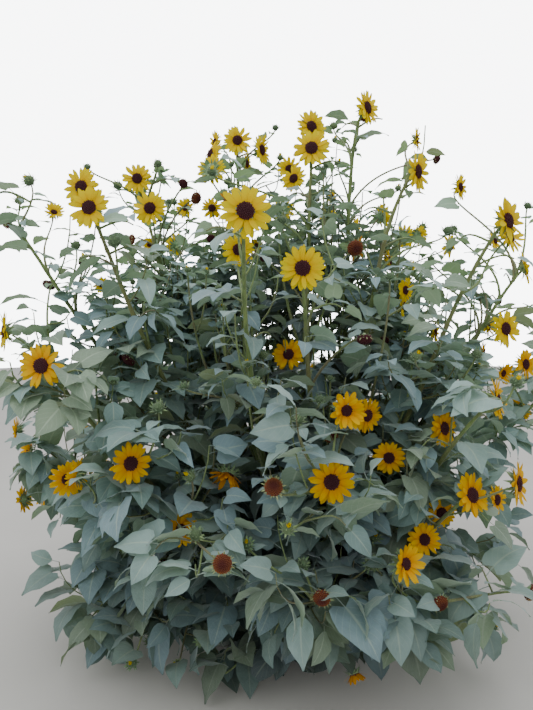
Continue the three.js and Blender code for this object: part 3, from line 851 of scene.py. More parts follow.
class Nodes:
    """A short way to add, set and join the nodes of one tree."""

    def __init__(self, tree: NodeTree) -> None:
        """Keeps the tree that the nodes go into."""
        self.tree = tree

    def add(self, kind: str, inputs: dict[Any, Any] | None = None, **settings: Any) -> Node:
        """Adds a node.

        Args:
            kind: the node's type.
            inputs: values or sockets, by the name or number of the input that they go to.
            settings: the node's own settings.

        Returns:
            The node.
        """
        node = self.tree.nodes.new(kind)
        for name, value in settings.items():
            setattr(node, name, value)
        for name, value in (inputs or {}).items():
            self.put(node.inputs[name], value)
        return node

    def put(self, socket: NodeSocket, value: Any) -> None:
        """Sets an input to a value or to a colour by its code, or joins it to a socket.

        Args:
            socket: the input.
            value: a value, a colour as three numbers or as six hex digits, or a socket.
        """
        if isinstance(value, NodeSocket):
            self.tree.links.new(value, socket)
        elif socket.type == "RGBA":
            socket.default_value = (*(linear(value) if isinstance(value, str) else value), 1.0)
        else:
            socket.default_value = value

    def math(self, operation: str, *values: Any) -> NodeSocket:
        """The result of a sum on numbers or sockets."""
        return self.add("ShaderNodeMath", dict(enumerate(values)), operation=operation).outputs[0]

    def stretched(self, vector: Any, factor: Any) -> NodeSocket:
        """A vector made longer by a factor."""
        return self.add("ShaderNodeVectorMath", {0: vector, "Scale": factor}, operation="SCALE").outputs[0]

    def scaled(self, value: Any, low: float, high: float, to_low: float, to_high: float) -> NodeSocket:
        """A value moved from one range to another, and held inside it."""
        inputs = {"Value": value, "From Min": low, "From Max": high, "To Min": to_low, "To Max": to_high}
        return self.add("ShaderNodeMapRange", inputs).outputs[0]

    def blend(self, share: Any, first: Any, second: Any, how: str = "MIX") -> NodeSocket:
        """A mix of two colours."""
        inputs = {0: share, 6: first, 7: second}
        return self.add("ShaderNodeMix", inputs, data_type="RGBA", blend_type=how).outputs[2]

    def noise(self, vector: Any, scale: float, detail: float = 3.0, rough: float = 0.55) -> NodeSocket:
        """The value of a noise pattern."""
        inputs = {"Vector": vector, "Scale": scale, "Detail": detail, "Roughness": rough}
        return self.add("ShaderNodeTexNoise", inputs).outputs[0]

    def attribute(self, name: str) -> NodeSocket:
        """The number that a piece stores under a name."""
        return self.add("ShaderNodeAttribute", attribute_name=name).outputs["Fac"]

    def across_and_along(self) -> tuple[NodeSocket, NodeSocket]:
        """How far a point is across its leaf or ray, and how far along it.

        Returns:
            The two numbers, from 0 to 1.
        """
        where = self.add("ShaderNodeUVMap", uv_map="UVMap").outputs[0]
        parts = self.add("ShaderNodeSeparateXYZ", {0: where})
        return parts.outputs[0], parts.outputs[1]

    def place(self, stretch: Colour = (1.0, 1.0, 1.0)) -> NodeSocket:
        """A point of the piece, with its pattern stretched."""
        where = self.add("ShaderNodeTexCoord").outputs["Object"]
        return self.add("ShaderNodeMapping", {"Vector": where, "Scale": stretch}).outputs[0]


class Skin(Nodes):
    """The nodes of one new material."""

    def __init__(self, name: str) -> None:
        """Starts the material.

        Args:
            name: the material's name.
        """
        self.material = bpy.data.materials.new(name)
        self.material.use_nodes = True
        super().__init__(self.material.node_tree)
        self.shader = self.tree.nodes["Principled BSDF"]

    def finish(
        self,
        colour: Any,
        roughness: Any,
        relief: tuple[Any, float, float],
        specular: float,
        sheen: float = 0.0,
        sheen_tint: Colour = (1.0, 1.0, 1.0),
    ) -> Material:
        """Joins the finish to the material's main shader.

        Args:
            colour: the base colour.
            roughness: the roughness.
            relief: the height of the relief, its strength, and its depth in metres.
            specular: how strong the reflections are.
            sheen: how strong the sheen of fine hairs is.
            sheen_tint: the sheen's colour.

        Returns:
            The material.
        """
        height, strength, depth = relief
        bump = self.add("ShaderNodeBump", {"Strength": strength, "Distance": depth, "Height": height})
        self.put(self.shader.inputs["Base Color"], colour)
        self.put(self.shader.inputs["Roughness"], roughness)
        self.put(self.shader.inputs["Normal"], bump.outputs[0])
        self.shader.inputs["Specular IOR Level"].default_value = specular
        self.shader.inputs["Sheen Weight"].default_value = sheen
        self.shader.inputs["Sheen Tint"].default_value = (*sheen_tint, 1.0)
        return self.material

    def let_light_through(self, colour: str, share: float) -> None:
        """Lets some light through a thin leaf or ray.

        Args:
            colour: the colour of the light that comes through, as six hex digits.
            share: how much of the surface passes it.
        """
        through = self.add("ShaderNodeBsdfTranslucent", {"Color": colour})
        mixed = self.add("ShaderNodeMixShader", {0: share, 1: self.shader.outputs[0], 2: through.outputs[0]})
        self.put(self.tree.nodes["Material Output"].inputs["Surface"], mixed.outputs[0])


@dataclass(frozen=True)
class LeafFinish:
    """A matt leaf with fine hairs: grey-green above, partly its own colour and partly a painted sky
    reflection, fresher green below, partly its own colour and partly painted light through it, with pale
    veins.
    """

    name: str
    above: str
    below: str
    shaded: str
    vein: str = "a9b8a4"
    through: str = "94ac74"
    clearness: float = 0.15
    vein_strength: float = 0.42
    painted_light_range: Pair = (0.26, 1.5)

    def make(self) -> Material:
        """Builds the material: its veins, then its two sides, its painted light and shade from the tone, and
        its crinkles.

        Returns:
            The material.
        """
        skin = Skin(self.name)
        across, along = skin.across_and_along()
        off_middle = skin.math("ABSOLUTE", skin.math("SUBTRACT", across, 0.5))
        midrib = skin.scaled(off_middle, 0.012, 0.045, 1.0, 0.0)
        back_swept = skin.math("MULTIPLY", off_middle, 5.0)
        slant = skin.math("SUBTRACT", skin.math("MULTIPLY", along, 6.5), back_swept)
        side_vein = skin.scaled(skin.math("PINGPONG", slant, 0.5), 0.0, 0.07, 0.55, 0.0)
        veins = skin.math("MAXIMUM", midrib, side_vein)
        patches = skin.noise(skin.place(), 11.0)
        mottle = skin.noise(skin.place(), 160.0, 2.0)
        top = skin.blend(skin.scaled(patches, 0.38, 0.66, 0.0, 1.0), self.above, self.shaded)
        top = skin.blend(skin.scaled(mottle, 0.3, 0.7, 0.0, 0.12), top, self.below)
        back = skin.add("ShaderNodeNewGeometry").outputs["Backfacing"]
        # The two sides: the grey-blue above is partly a painted sky reflection, and the brighter green below
        # is partly painted light through the leaf.
        leaf = skin.blend(back, top, self.below)
        leaf = skin.blend(skin.math("MULTIPLY", veins, self.vein_strength), leaf, self.vein)
        # Painted light and shade: the tone makes the leaf's colour darker or lighter.
        shade = skin.scaled(skin.attribute("tone"), 0.0, 1.0, *self.painted_light_range)
        grey = skin.add("ShaderNodeCombineColor", {0: shade, 1: shade, 2: shade}).outputs[0]
        colour = skin.blend(1.0, leaf, grey, "MULTIPLY")
        crinkle = skin.noise(skin.place(), 55.0, 2.0)
        height = skin.math("ADD", skin.math("MULTIPLY", veins, -0.3), skin.math("MULTIPLY", mottle, 0.2))
        height = skin.math("ADD", height, skin.math("MULTIPLY", crinkle, 1.6))
        skin.let_light_through(self.through, self.clearness)
        rough = skin.scaled(mottle, 0.2, 0.8, 0.5, 0.68)
        return skin.finish(colour, rough, (height, 0.5, 0.003), 0.5, 0.38, (0.85, 0.92, 1.0))


@dataclass(frozen=True)
class RayFinish:
    """A ray of a flower: satin, streaked along its length, deeper in colour at its foot, with painted shade
    along its edges where rays overlap.
    """

    name: str
    tip: str
    foot: str
    aged: str
    clearness: float = 0.35

    def make(self) -> Material:
        """Builds the material.

        Returns:
            The material.
        """
        skin = Skin(self.name)
        across, along = skin.across_and_along()
        streak = skin.math("SINE", skin.math("MULTIPLY", across, 31.0))
        patches = skin.noise(skin.place(), 60.0)
        fade = skin.scaled(skin.math("ADD", along, skin.math("MULTIPLY", streak, 0.1)), 0.05, 0.7, 1.0, 0.0)
        # Painted shade between overlapping rays: the edges darken towards the foot colour.
        painted_edge_shade = skin.scaled(skin.math("ABSOLUTE", skin.math("SUBTRACT", across, 0.5)), 0.36, 0.5, 0.0, 0.6)
        colour = skin.blend(skin.math("MAXIMUM", fade, painted_edge_shade), self.tip, self.foot)
        age = skin.math("MULTIPLY", skin.attribute("tone"), skin.scaled(patches, 0.3, 0.7, 0.3, 0.9))
        colour = skin.blend(age, colour, self.aged)
        ridges = skin.math("ADD", skin.math("MULTIPLY", streak, 0.5), patches)
        skin.let_light_through(self.tip, self.clearness)
        return skin.finish(colour, skin.scaled(patches, 0.2, 0.8, 0.42, 0.6), (ridges, 0.3, 0.0006), 0.08)


@dataclass(frozen=True)
class HairyFinish:
    """A ribbed, finely hairy green surface of stems, twigs and bracts, stretched along the plant."""

    name: str
    fresh: str
    old: str
    flush: str
    stretch: float = 0.12
    grain: float = 90.0
    hair: float = 0.3
    depth: float = 0.0012
    hair_colour: str = "c8d0b4"

    def make(self) -> Material:
        """Builds the material.

        Returns:
            The material.
        """
        skin = Skin(self.name)
        streaks = skin.noise(skin.place((1.0, 1.0, self.stretch)), self.grain, 4.0)
        patches = skin.noise(skin.place(), 7.0)
        hairs = skin.noise(skin.place(), 420.0, 2.0, 0.7)
        green = skin.blend(skin.scaled(streaks, 0.35, 0.65, 0.0, 1.0), self.fresh, self.old)
        flushed = skin.math("ADD", patches, skin.math("MULTIPLY", skin.attribute("tone"), 0.3))
        colour = skin.blend(skin.scaled(flushed, 0.6, 0.85, 0.0, 0.75), green, self.flush)
        colour = skin.blend(skin.scaled(hairs, 0.55, 0.8, 0.0, 0.35), colour, self.hair_colour)
        height = skin.math("ADD", streaks, skin.math("MULTIPLY", hairs, 0.6))
        rough = skin.scaled(streaks, 0.3, 0.7, 0.6, 0.8)
        return skin.finish(colour, rough, (height, 0.6, self.depth), 0.3, self.hair, (0.93, 0.97, 0.88))


@dataclass(frozen=True)
class FloretFinish:
    """A velvety field of small florets, which change colour towards the rim of their head."""

    name: str
    middle: str
    rim: str
    lit: str

    def make(self) -> Material:
        """Builds the material.

        Returns:
            The material.
        """
        skin = Skin(self.name)
        speckle = skin.noise(skin.place(), 600.0, 2.0, 0.7)
        colour = skin.blend(skin.attribute("tone"), self.middle, self.rim)
        colour = skin.blend(skin.scaled(speckle, 0.5, 0.75, 0.0, 0.6), colour, self.lit)
        rough = skin.scaled(speckle, 0.3, 0.7, 0.65, 0.9)
        return skin.finish(colour, rough, (speckle, 0.6, 0.0008), 0.25, 0.25, (0.8, 0.55, 0.6))


@dataclass(frozen=True)
class FloorFinish:
    """A plain pale studio floor."""

    pale: str = "cfcdc8"
    dim: str = "c9c7c2"
    roughness: float = 0.9

    def make(self) -> Material:
        """Builds the material.

        Returns:
            The material.
        """
        skin = Skin("pale_floor")
        cloudy = skin.scaled(skin.noise(skin.place(), 1.5), 0.3, 0.7, 0.0, 1.0)
        skin.put(skin.shader.inputs["Base Color"], skin.blend(cloudy, self.pale, self.dim))
        skin.shader.inputs["Roughness"].default_value = self.roughness
        return skin.material


def grid_mesh(
    name: str, rows: Sequence[Sequence[Vector]], along: Sequence[float], closed: bool = False
) -> Mesh:
    """A mesh over rows of points, with how far across and along each point is as its UV map.

    Args:
        name: the mesh's name.
        rows: the points, the same number in each row.
        along: how far along each row is, from 0 to 1.
        closed: whether the last point of a row joins the first.

    Returns:
        The mesh, smooth.
    """
    wide = len(rows[0])
    steps = wide if closed else wide - 1
    faces = []
    marks = []
    for i in range(len(rows) - 1):
        for j in range(steps):
            after = (j + 1) % wide
            faces.append((i * wide + j, i * wide + after, (i + 1) * wide + after, (i + 1) * wide + j))
            low, high = j / steps, (j + 1) / steps
            marks += [(low, along[i]), (high, along[i]), (high, along[i + 1]), (low, along[i + 1])]
    mesh = bpy.data.meshes.new(name)
    mesh.from_pydata([point for row in rows for point in row], [], faces)
    uv = mesh.uv_layers.new(name="UVMap")
    uv.data.foreach_set("uv", [x for mark in marks for x in mark])
    return mesh


def placed(name: str, data: Any) -> Object:
    """A new object in the scene.

    Args:
        name: the object's name.
        data: its mesh, camera or light.

    Returns:
        The object.
    """
    new = bpy.data.objects.new(name, data)
    bpy.context.scene.collection.objects.link(new)
    return new


def lathe_object(name: str, profile: Sequence[Pair], sides: int) -> Object:
    """An object turned round the Z axis.

    Args:
        name: the object's name.
        profile: its radii and heights, outwards from its bottom.
        sides: how many sides it has.

    Returns:
        The object.
    """
    angles = [2.0 * math.pi * j / sides for j in range(sides)]
    rows = [
        [Vector((radius * math.cos(angle), radius * math.sin(angle), height)) for angle in angles]
        for radius, height in profile
    ]
    along = [i / (len(profile) - 1) for i in range(len(profile))]
    return bpy.data.objects.new(name, grid_mesh(name, rows, along, closed=True))


HEART_OUTLINE = (
    (0.0, 0.5, -0.09), (0.06, 0.86, -0.085), (0.17, 1.0, -0.045), (0.33, 0.98, -0.01),
    (0.52, 0.82, 0.0), (0.7, 0.55, 0.0), (0.86, 0.25, 0.0), (1.0, 0.012, 0.0),
)
LANCE_OUTLINE = (
    (0.0, 0.12, 0.0), (0.1, 0.54, 0.0), (0.23, 0.9, 0.0), (0.4, 1.0, 0.0), (0.57, 0.84, 0.0),
    (0.73, 0.56, 0.0), (0.87, 0.26, 0.0), (1.0, 0.012, 0.0),
)


@dataclass(frozen=True)
class LeafShape:
    """One leaf on its stalk, with the stalk's foot at the origin and the tip at (1, 0, 0).

    The sizes are shares of that length, and the angles are in degrees.
    """

    name: str
    half_width: float
    bend: float
    fold: float
    twist: float = 0.0
    stalk: float = 0.22
    stalk_radius: float = 0.009
    arch: float = 0.5
    wave: float = 0.02
    outline: tuple[tuple[float, float, float], ...] = HEART_OUTLINE

    def centre(self, s: float) -> tuple[Vector, Vector]:
        """The leaf's middle line, an arc over the chord, and its direction, at a share of its length.

        Args:
            s: the share.

        Returns:
            The point and the direction.
        """
        bend = math.radians(self.bend)
        radius = 0.5 / math.sin(bend / 2.0)
        angle = bend * (0.5 - s)
        rise = radius * (math.cos(angle) - math.cos(bend / 2.0))
        point = Vector((0.5 - radius * math.sin(angle), 0.0, rise))
        return point, Vector((math.cos(angle), 0.0, math.sin(angle)))

    def make(self) -> Object:
        """Builds the leaf: its blade, folded at the midrib and wavy at the edges, and its round stalk.

        Returns:
            The object.
        """
        rows = []
        along = []
        for place, (share, width, back) in enumerate(self.outline):
            s = lerp(self.stalk, 1.0, share)
            middle, heading = self.centre(s)
            turn = Quaternion(heading, math.radians(self.twist * share))
            side = turn @ Vector((0.0, 1.0, 0.0))
            above = turn @ Vector((-heading.z, 0.0, heading.x))
            row = []
            for reach in (1.0, 0.52, 0.0, -0.52, -1.0):
                y = reach * width * self.half_width
                rise = abs(y) * math.tan(math.radians(self.fold)) - self.arch * y * y
                rise += self.wave * math.sin(place * 2.3 + reach * 2.0) * abs(reach) ** 2
                row.append(middle + side * y + above * rise + heading * (back * abs(reach)))
            rows.append(row)
            along.append(share)
        blade = grid_mesh(self.name, rows, along)
        stalk_rows = []
        into_blade = 1.04
        for i in range(3):
            middle, heading = self.centre(self.stalk * into_blade * i / 2.0)
            above = Vector((-heading.z, 0.0, heading.x))
            stalk_rows.append([
                middle + (Vector((0.0, math.sin(a), 0.0)) + above * math.cos(a)) * self.stalk_radius
                for a in (4.189, 2.094, 0.0)
            ])
        stalk = grid_mesh(self.name + "_stalk", stalk_rows, (0.0, 0.0, 0.0), closed=True)
        stalk.uv_layers[0].data.foreach_set("uv", [0.5, 0.0] * len(stalk.loops))
        return joined(self.name, [blade, stalk])


def joined(name: str, meshes: Sequence[Mesh]) -> Object:
    """One object from several meshes.

    Args:
        name: the object's name.
        meshes: the meshes.

    Returns:
        The object.
    """
    objects = [bpy.data.objects.new(mesh.name, mesh) for mesh in meshes]
    for each in objects:
        bpy.context.scene.collection.objects.link(each)
    with bpy.context.temp_override(active_object=objects[0], selected_editable_objects=objects):
        bpy.ops.object.join()
    objects[0].name = name
    bpy.context.scene.collection.objects.unlink(objects[0])
    return objects[0]


@dataclass(frozen=True)
class RayShape:
    """One ray of a flower, from its foot at the origin to its tip at (1, 0, 0), facing +Z."""

    name: str
    half_width: float
    curl: float
    notch: float = 0.0
    twist: float = 0.0
    groove: float = 0.012

    def make(self) -> Object:
        """Builds the ray.

        Returns:
            The object.
        """
        outline = ((0.0, 0.42), (0.2, 0.8), (0.45, 1.0), (0.7, 0.95), (0.88, 0.66), (1.0, 0.2))
        rows = []
        for share, width in outline:
            angle = math.radians(self.curl) * share
            middle = Vector((share, 0.0, 0.5 * math.tan(angle) * share))
            turn = Quaternion(AHEAD, math.radians(self.twist * share))
            row = []
            for reach, dip in ((1.0, 0.0), (0.4, -1.0), (0.0, 0.35), (-0.4, -1.0), (-1.0, 0.0)):
                y = reach * width * self.half_width
                back = -self.notch * share * share * (1.0 if reach == 0.0 else 0.0)
                row.append(middle + turn @ Vector((back, y, dip * self.groove * width)))
            rows.append(row)
        mesh = grid_mesh(self.name, rows, [share for share, _ in outline])
        return bpy.data.objects.new(self.name, mesh)


@dataclass(frozen=True)
class BractShape:
    """One green bract, from its foot at the origin to its tip at (1, 0, 0), facing +Z."""

    name: str
    half_width: float
    curl: float

    def make(self) -> Object:
        """Builds the bract.

        Returns:
            The object.
        """
        rows = []
        outline = ((0.0, 0.9), (0.3, 1.0), (0.62, 0.6), (1.0, 0.05))
        for share, width in outline:
            rise = math.sin(math.radians(self.curl) * share) * share * 0.6
            half = width * self.half_width
            rows.append([Vector((share, y, rise + abs(y) * 0.25)) for y in (half, 0.0, -half)])
        mesh = grid_mesh(self.name, rows, [share for share, _ in outline])
        return bpy.data.objects.new(self.name, mesh)


class Places:
    """Where the copies of some shapes go: for each, a point, a direction, a size, a shape and a tone."""

    def __init__(self) -> None:
        """Starts with no places."""
        self.points: list[Vector] = []
        self.turns: list[Quaternion] = []
        self.sizes: list[tuple[float, float, float]] = []
        self.picks: list[int] = []
        self.tones: list[float] = []

    def add(
        self,
        at: Vector,
        forward: Vector,
        above: Vector,
        size: float | tuple[float, float, float],
        pick: int = 0,
        tone: float = 0.5,
    ) -> None:
        """Adds a place.

        Args:
            at: the shape's origin, in millimetres.
            forward: where its X axis points.
            above: about where its Z axis points.
            size: its size, or its sizes along its own axes, in millimetres.
            pick: which of the shapes it is.
            tone: a number from 0 to 1 for its finish; for a leaf, its painted light and shade.
        """
        x = forward.normalized()
        y = above.cross(x).normalized()
        turn = Matrix((x, y, x.cross(y))).transposed().to_quaternion()
        self.points.append(at * METRES)
        self.turns.append(turn)
        sizes = (size, size, size) if isinstance(size, (int, float)) else size
        self.sizes.append(tuple(each * METRES for each in sizes))
        self.picks.append(pick)
        self.tones.append(tone)

    def mesh(self, name: str) -> Mesh:
        """The places as the loose points of a mesh, with their directions and sizes as attributes.

        Args:
            name: the mesh's name.

        Returns:
            The mesh.
        """
        mesh = bpy.data.meshes.new(name)
        mesh.from_pydata(self.points, [], [])
        rows = (
            ("turn", "QUATERNION", "value", np.array([tuple(q) for q in self.turns]).ravel()),
            ("size", "FLOAT_VECTOR", "vector", np.array(self.sizes).ravel()),
            ("pick", "INT", "value", np.array(self.picks, np.int32)),
            ("tone", "FLOAT", "value", np.array(self.tones)),
        )
        for attribute, kind, value, numbers in rows:
            mesh.attributes.new(attribute, kind, "POINT").data.foreach_set(value, numbers)
        return mesh


@dataclass
class Limb:
    """A round limb: the points that it follows, its radius at each, and a tone for its finish."""

    points: list[Vector]
    radii: list[float]
    tone: float = 0.0


class GeometryTree:
    """A Geometry Nodes tree with named inputs, and the piece that it makes."""

    def __init__(self, name: str, inputs: Sequence[tuple[str, str]]) -> None:
        """Starts the tree.

        Args:
            name: the tree's name.
            inputs: the name and socket type of each input after the geometry.
        """
        self.tree = bpy.data.node_groups.new(name, "GeometryNodeTree")
        face = self.tree.interface
        face.new_socket("Geometry", in_out="INPUT", socket_type="NodeSocketGeometry")
        self.identifiers = {}
        for label, kind in inputs:
            socket = face.new_socket(label, in_out="INPUT", socket_type=kind)
            self.identifiers[label] = socket.identifier
        face.new_socket("Geometry", in_out="OUTPUT", socket_type="NodeSocketGeometry")
        self.nodes = Nodes(self.tree)
        self.start = self.nodes.add("NodeGroupInput")
        self.end = self.nodes.add("NodeGroupOutput")

    def named(self, name: str, kind: str) -> NodeSocket:
        """A named attribute of the incoming points.

        Args:
            name: the attribute's name.
            kind: its data type.

        Returns:
            The attribute.
        """
        node = self.nodes.add("GeometryNodeInputNamedAttribute", data_type=kind)
        node.inputs["Name"].default_value = name
        return node.outputs["Attribute"]

    def close(self, geometry: NodeSocket) -> None:
        """Ends the tree: real geometry, smooth, with its finish.

        Args:
            geometry: what the tree has made.
        """
        real = self.nodes.add("GeometryNodeRealizeInstances", {0: geometry})
        smooth = self.nodes.add("GeometryNodeSetShadeSmooth", {"Geometry": real.outputs[0]})
        finish = {"Geometry": smooth.outputs[0], "Material": self.start.outputs["Finish"]}
        done = self.nodes.add("GeometryNodeSetMaterial", finish)
        self.nodes.put(self.end.inputs[0], done.outputs[0])

    def grow(self, name: str, mesh: Mesh, values: dict[str, Any], extra: Sequence[str] = ()) -> Object:
        """Makes a plain mesh piece from the tree.

        Args:
            name: the piece's name.
            mesh: the points or lines that the tree starts from.
            values: a value for each named input.
            extra: attributes that the finished piece doesn't need.

        Returns:
            The piece, at the origin, with no modifier.
        """
        carrier = placed(name + "_carrier", mesh)
        modifier = carrier.modifiers.new("growth", "NODES")
        modifier.node_group = self.tree
        for label, value in values.items():
            modifier[self.identifiers[label]] = value
        evaluated = carrier.evaluated_get(bpy.context.evaluated_depsgraph_get())
        plain = bpy.data.meshes.new_from_object(evaluated)
        plain.name = name
        for attribute in extra:
            if attribute in plain.attributes:
                plain.attributes.remove(plain.attributes[attribute])
        carrier.modifiers.clear()
        bpy.data.objects.remove(carrier)
        return placed(name, plain)


class ScatterTree(GeometryTree):
    """Puts copies of the shapes in a collection at given places, and makes them one mesh."""

    def __init__(self) -> None:
        """Builds the tree."""
        kinds = {"Shapes": "NodeSocketCollection", "Size": "NodeSocketFloat", "Finish": "NodeSocketMaterial"}
        super().__init__("copies_at_places", list(kinds.items()))
        nodes = self.nodes
        shapes = nodes.add(
            "GeometryNodeCollectionInfo",
            {"Collection": self.start.outputs["Shapes"], "Separate Children": True, "Reset Children": True},
        )
        size = nodes.stretched(self.named("size", "FLOAT_VECTOR"), self.start.outputs["Size"])
        copies = nodes.add(
            "GeometryNodeInstanceOnPoints",
            {
                "Points": self.start.outputs["Geometry"],
                "Instance": shapes.outputs[0],
                "Pick Instance": True,
                "Instance Index": self.named("pick", "INT"),
                "Rotation": self.named("turn", "QUATERNION"),
                "Scale": size,
            },
        )
        self.close(copies.outputs[0])

    def piece(self, name: str, places: Places, shapes: Sequence[Object], finish: Material) -> Object:
        """Makes one piece from all the copies.

        Args:
            name: the piece's name.
            places: where the copies go.
            shapes: the shapes, in the order that the places pick them by.
            finish: the piece's material.

        Returns:
            The piece.
        """
        shelf = bpy.data.collections.new(name + "_shapes")
        bpy.context.scene.collection.children.link(shelf)
        for number, shape in enumerate(shapes):
            copy = shape.copy()
            copy.name = f"{number:02d}_{shape.name}"
            shelf.objects.link(copy)
        values = {"Shapes": shelf, "Size": 1.0, "Finish": finish}
        piece = self.grow(name, places.mesh(name + "_places"), values, ("turn", "size", "pick"))
        for copy in list(shelf.objects):
            bpy.data.objects.remove(copy)
        bpy.data.collections.remove(shelf)
        return piece


class LimbTree(GeometryTree):
    """Sweeps a ribbed round along lines, as thick as each point of the line says."""

    def __init__(self) -> None:
        """Builds the tree."""
        kinds = {"Ribs": "NodeSocketInt", "Rib Depth": "NodeSocketFloat", "Finish": "NodeSocketMaterial"}
        super().__init__("ribbed_limbs", list(kinds.items()))
        nodes = self.nodes
        line = nodes.add("GeometryNodeMeshToCurve", {"Mesh": self.start.outputs["Geometry"]})
        ring = nodes.add("GeometryNodeCurvePrimitiveCircle", {"Radius": 1.0})
        points = nodes.math("MULTIPLY", self.start.outputs["Ribs"], 2.0)
        nodes.put(ring.inputs["Resolution"], points)
        odd = nodes.math("MODULO", nodes.add("GeometryNodeInputIndex").outputs[0], 2.0)
        depth = nodes.math("MULTIPLY", odd, self.start.outputs["Rib Depth"])
        outward = nodes.add("GeometryNodeInputPosition").outputs[0]
        inward = nodes.stretched(outward, nodes.math("MULTIPLY", depth, -1.0))
        ribbed = nodes.add("GeometryNodeSetPosition", {"Geometry": ring.outputs[0], "Offset": inward})
        swept = nodes.add(
            "GeometryNodeCurveToMesh",
            {
                "Curve": line.outputs[0],
                "Profile Curve": ribbed.outputs[0],
                "Scale": self.named("thickness", "FLOAT"),
                "Fill Caps": True,
            },
        )
        self.close(swept.outputs[0])

    def piece(self, name: str, limbs: Sequence[Limb], ribs: int, depth: float, finish: Material) -> Object:
        """Makes one piece from all the limbs.

        Args:
            name: the piece's name.
            limbs: the limbs.
            ribs: how many ribs go round each.
            depth: how deep the grooves between the ribs are, as a share of the radius.
            finish: the piece's material.

        Returns:
            The piece.
        """
        points = [tuple(point * METRES) for limb in limbs for point in limb.points]
        edges = []
        first = 0
        for limb in limbs:
            edges += [(i, i + 1) for i in range(first, first + len(limb.points) - 1)]
            first += len(limb.points)
        mesh = bpy.data.meshes.new(name + "_lines")
        mesh.from_pydata(points, edges, [])
        thickness = [radius * METRES for limb in limbs for radius in limb.radii]
        tones = [limb.tone for limb in limbs for _ in limb.points]
        mesh.attributes.new("thickness", "FLOAT", "POINT").data.foreach_set("value", thickness)
        mesh.attributes.new("tone", "FLOAT", "POINT").data.foreach_set("value", tones)
        values = {"Ribs": ribs, "Rib Depth": depth, "Finish": finish}
        return self.grow(name, mesh, values, ("thickness",))


def declare(piece: Object, slot: str, nodes: Sequence[str]) -> None:
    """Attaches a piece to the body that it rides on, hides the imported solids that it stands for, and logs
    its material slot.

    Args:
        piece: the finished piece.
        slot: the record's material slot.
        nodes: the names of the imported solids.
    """
    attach(piece, BODY)
    if nodes:
        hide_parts(*nodes)
    log.info("%s: %d faces, slot %s", piece.name, len(piece.data.polygons), slot)


@dataclass
class Foot:
    """The woody foot: a flat cut at the ground, a lobed root flare and a ridged neck. Millimetres."""

    profile: tuple[Pair, ...] = (
        (86.0, 0.0), (85.0, 8.0), (74.0, 22.0), (62.0, 42.0), (55.0, 66.0), (52.0, 92.0),
        (51.0, 130.0), (50.0, 175.0), (49.0, 220.0), (48.0, 262.0), (46.0, 288.0), (36.0, 302.0),
        (20.0, 309.0), (0.5, 310.0),
    )
    sides: int = 72
    lobes: int = 6
    ridges: int = 18
    flare_height: float = 120.0
    lobe_depth: float = 0.09
    ridge_depth: float = 0.035
    fibre_depth: float = 0.012
    inset: float = 0.07

    def build(self, finish: Material) -> Object:
        """Builds the foot.

        Args:
            finish: its material.

        Returns:
            The piece.
        """
        rows = [[Vector((0.0, 0.0, 0.0))] * self.sides]
        for radius, height in self.profile:
            low = max(0.0, 1.0 - height / self.flare_height)
            sway = 0.35 * math.sin(height / 46.0)
            smooth_top = min(1.0, radius / 40.0)
            row = []
            for j in range(self.sides):
                angle = 2.0 * math.pi * j / self.sides
                lobe = self.lobe_depth * low * math.cos(self.lobes * angle + 0.4)
                ridge = self.ridge_depth * math.cos(self.ridges * (angle + 0.08 * sway)) * smooth_top
                fibre = self.fibre_depth * math.cos(self.sides / 2.0 * angle + height / 9.0)
                reach = min(radius * (1.0 - self.inset + lobe + ridge + fibre), radius + 1.0)
                row.append(Vector((math.cos(angle) * reach, math.sin(angle) * reach, height)) * METRES)
            rows.append(row)
        rows.append([Vector((0.0, 0.0, self.profile[-1][1])) * METRES] * self.sides)
        along = [i / (len(rows) - 1) for i in range(len(rows))]
        mesh = grid_mesh("woody_foot", rows, along, closed=True)
        piece = placed("woody_foot", mesh)
        tidy_solid(piece)
        mesh.materials.append(finish)
        mesh.attributes.new("tone", "FLOAT", "POINT").data.foreach_set("value", [0.4] * len(mesh.vertices))
        return piece


def tidy_solid(piece: Object) -> None:
    """Merges a closed mesh's doubles, turns its faces outwards and smooths it.

    Args:
        piece: the object with the mesh.
    """
    work = bmesh.new()
    work.from_mesh(piece.data)
    bmesh.ops.remove_doubles(work, verts=work.verts, dist=1e-6)
    bmesh.ops.dissolve_degenerate(work, edges=work.edges, dist=1e-6)
    bmesh.ops.recalc_face_normals(work, faces=work.faces)
    work.to_mesh(piece.data)
    work.free()
    piece.data.shade_smooth()


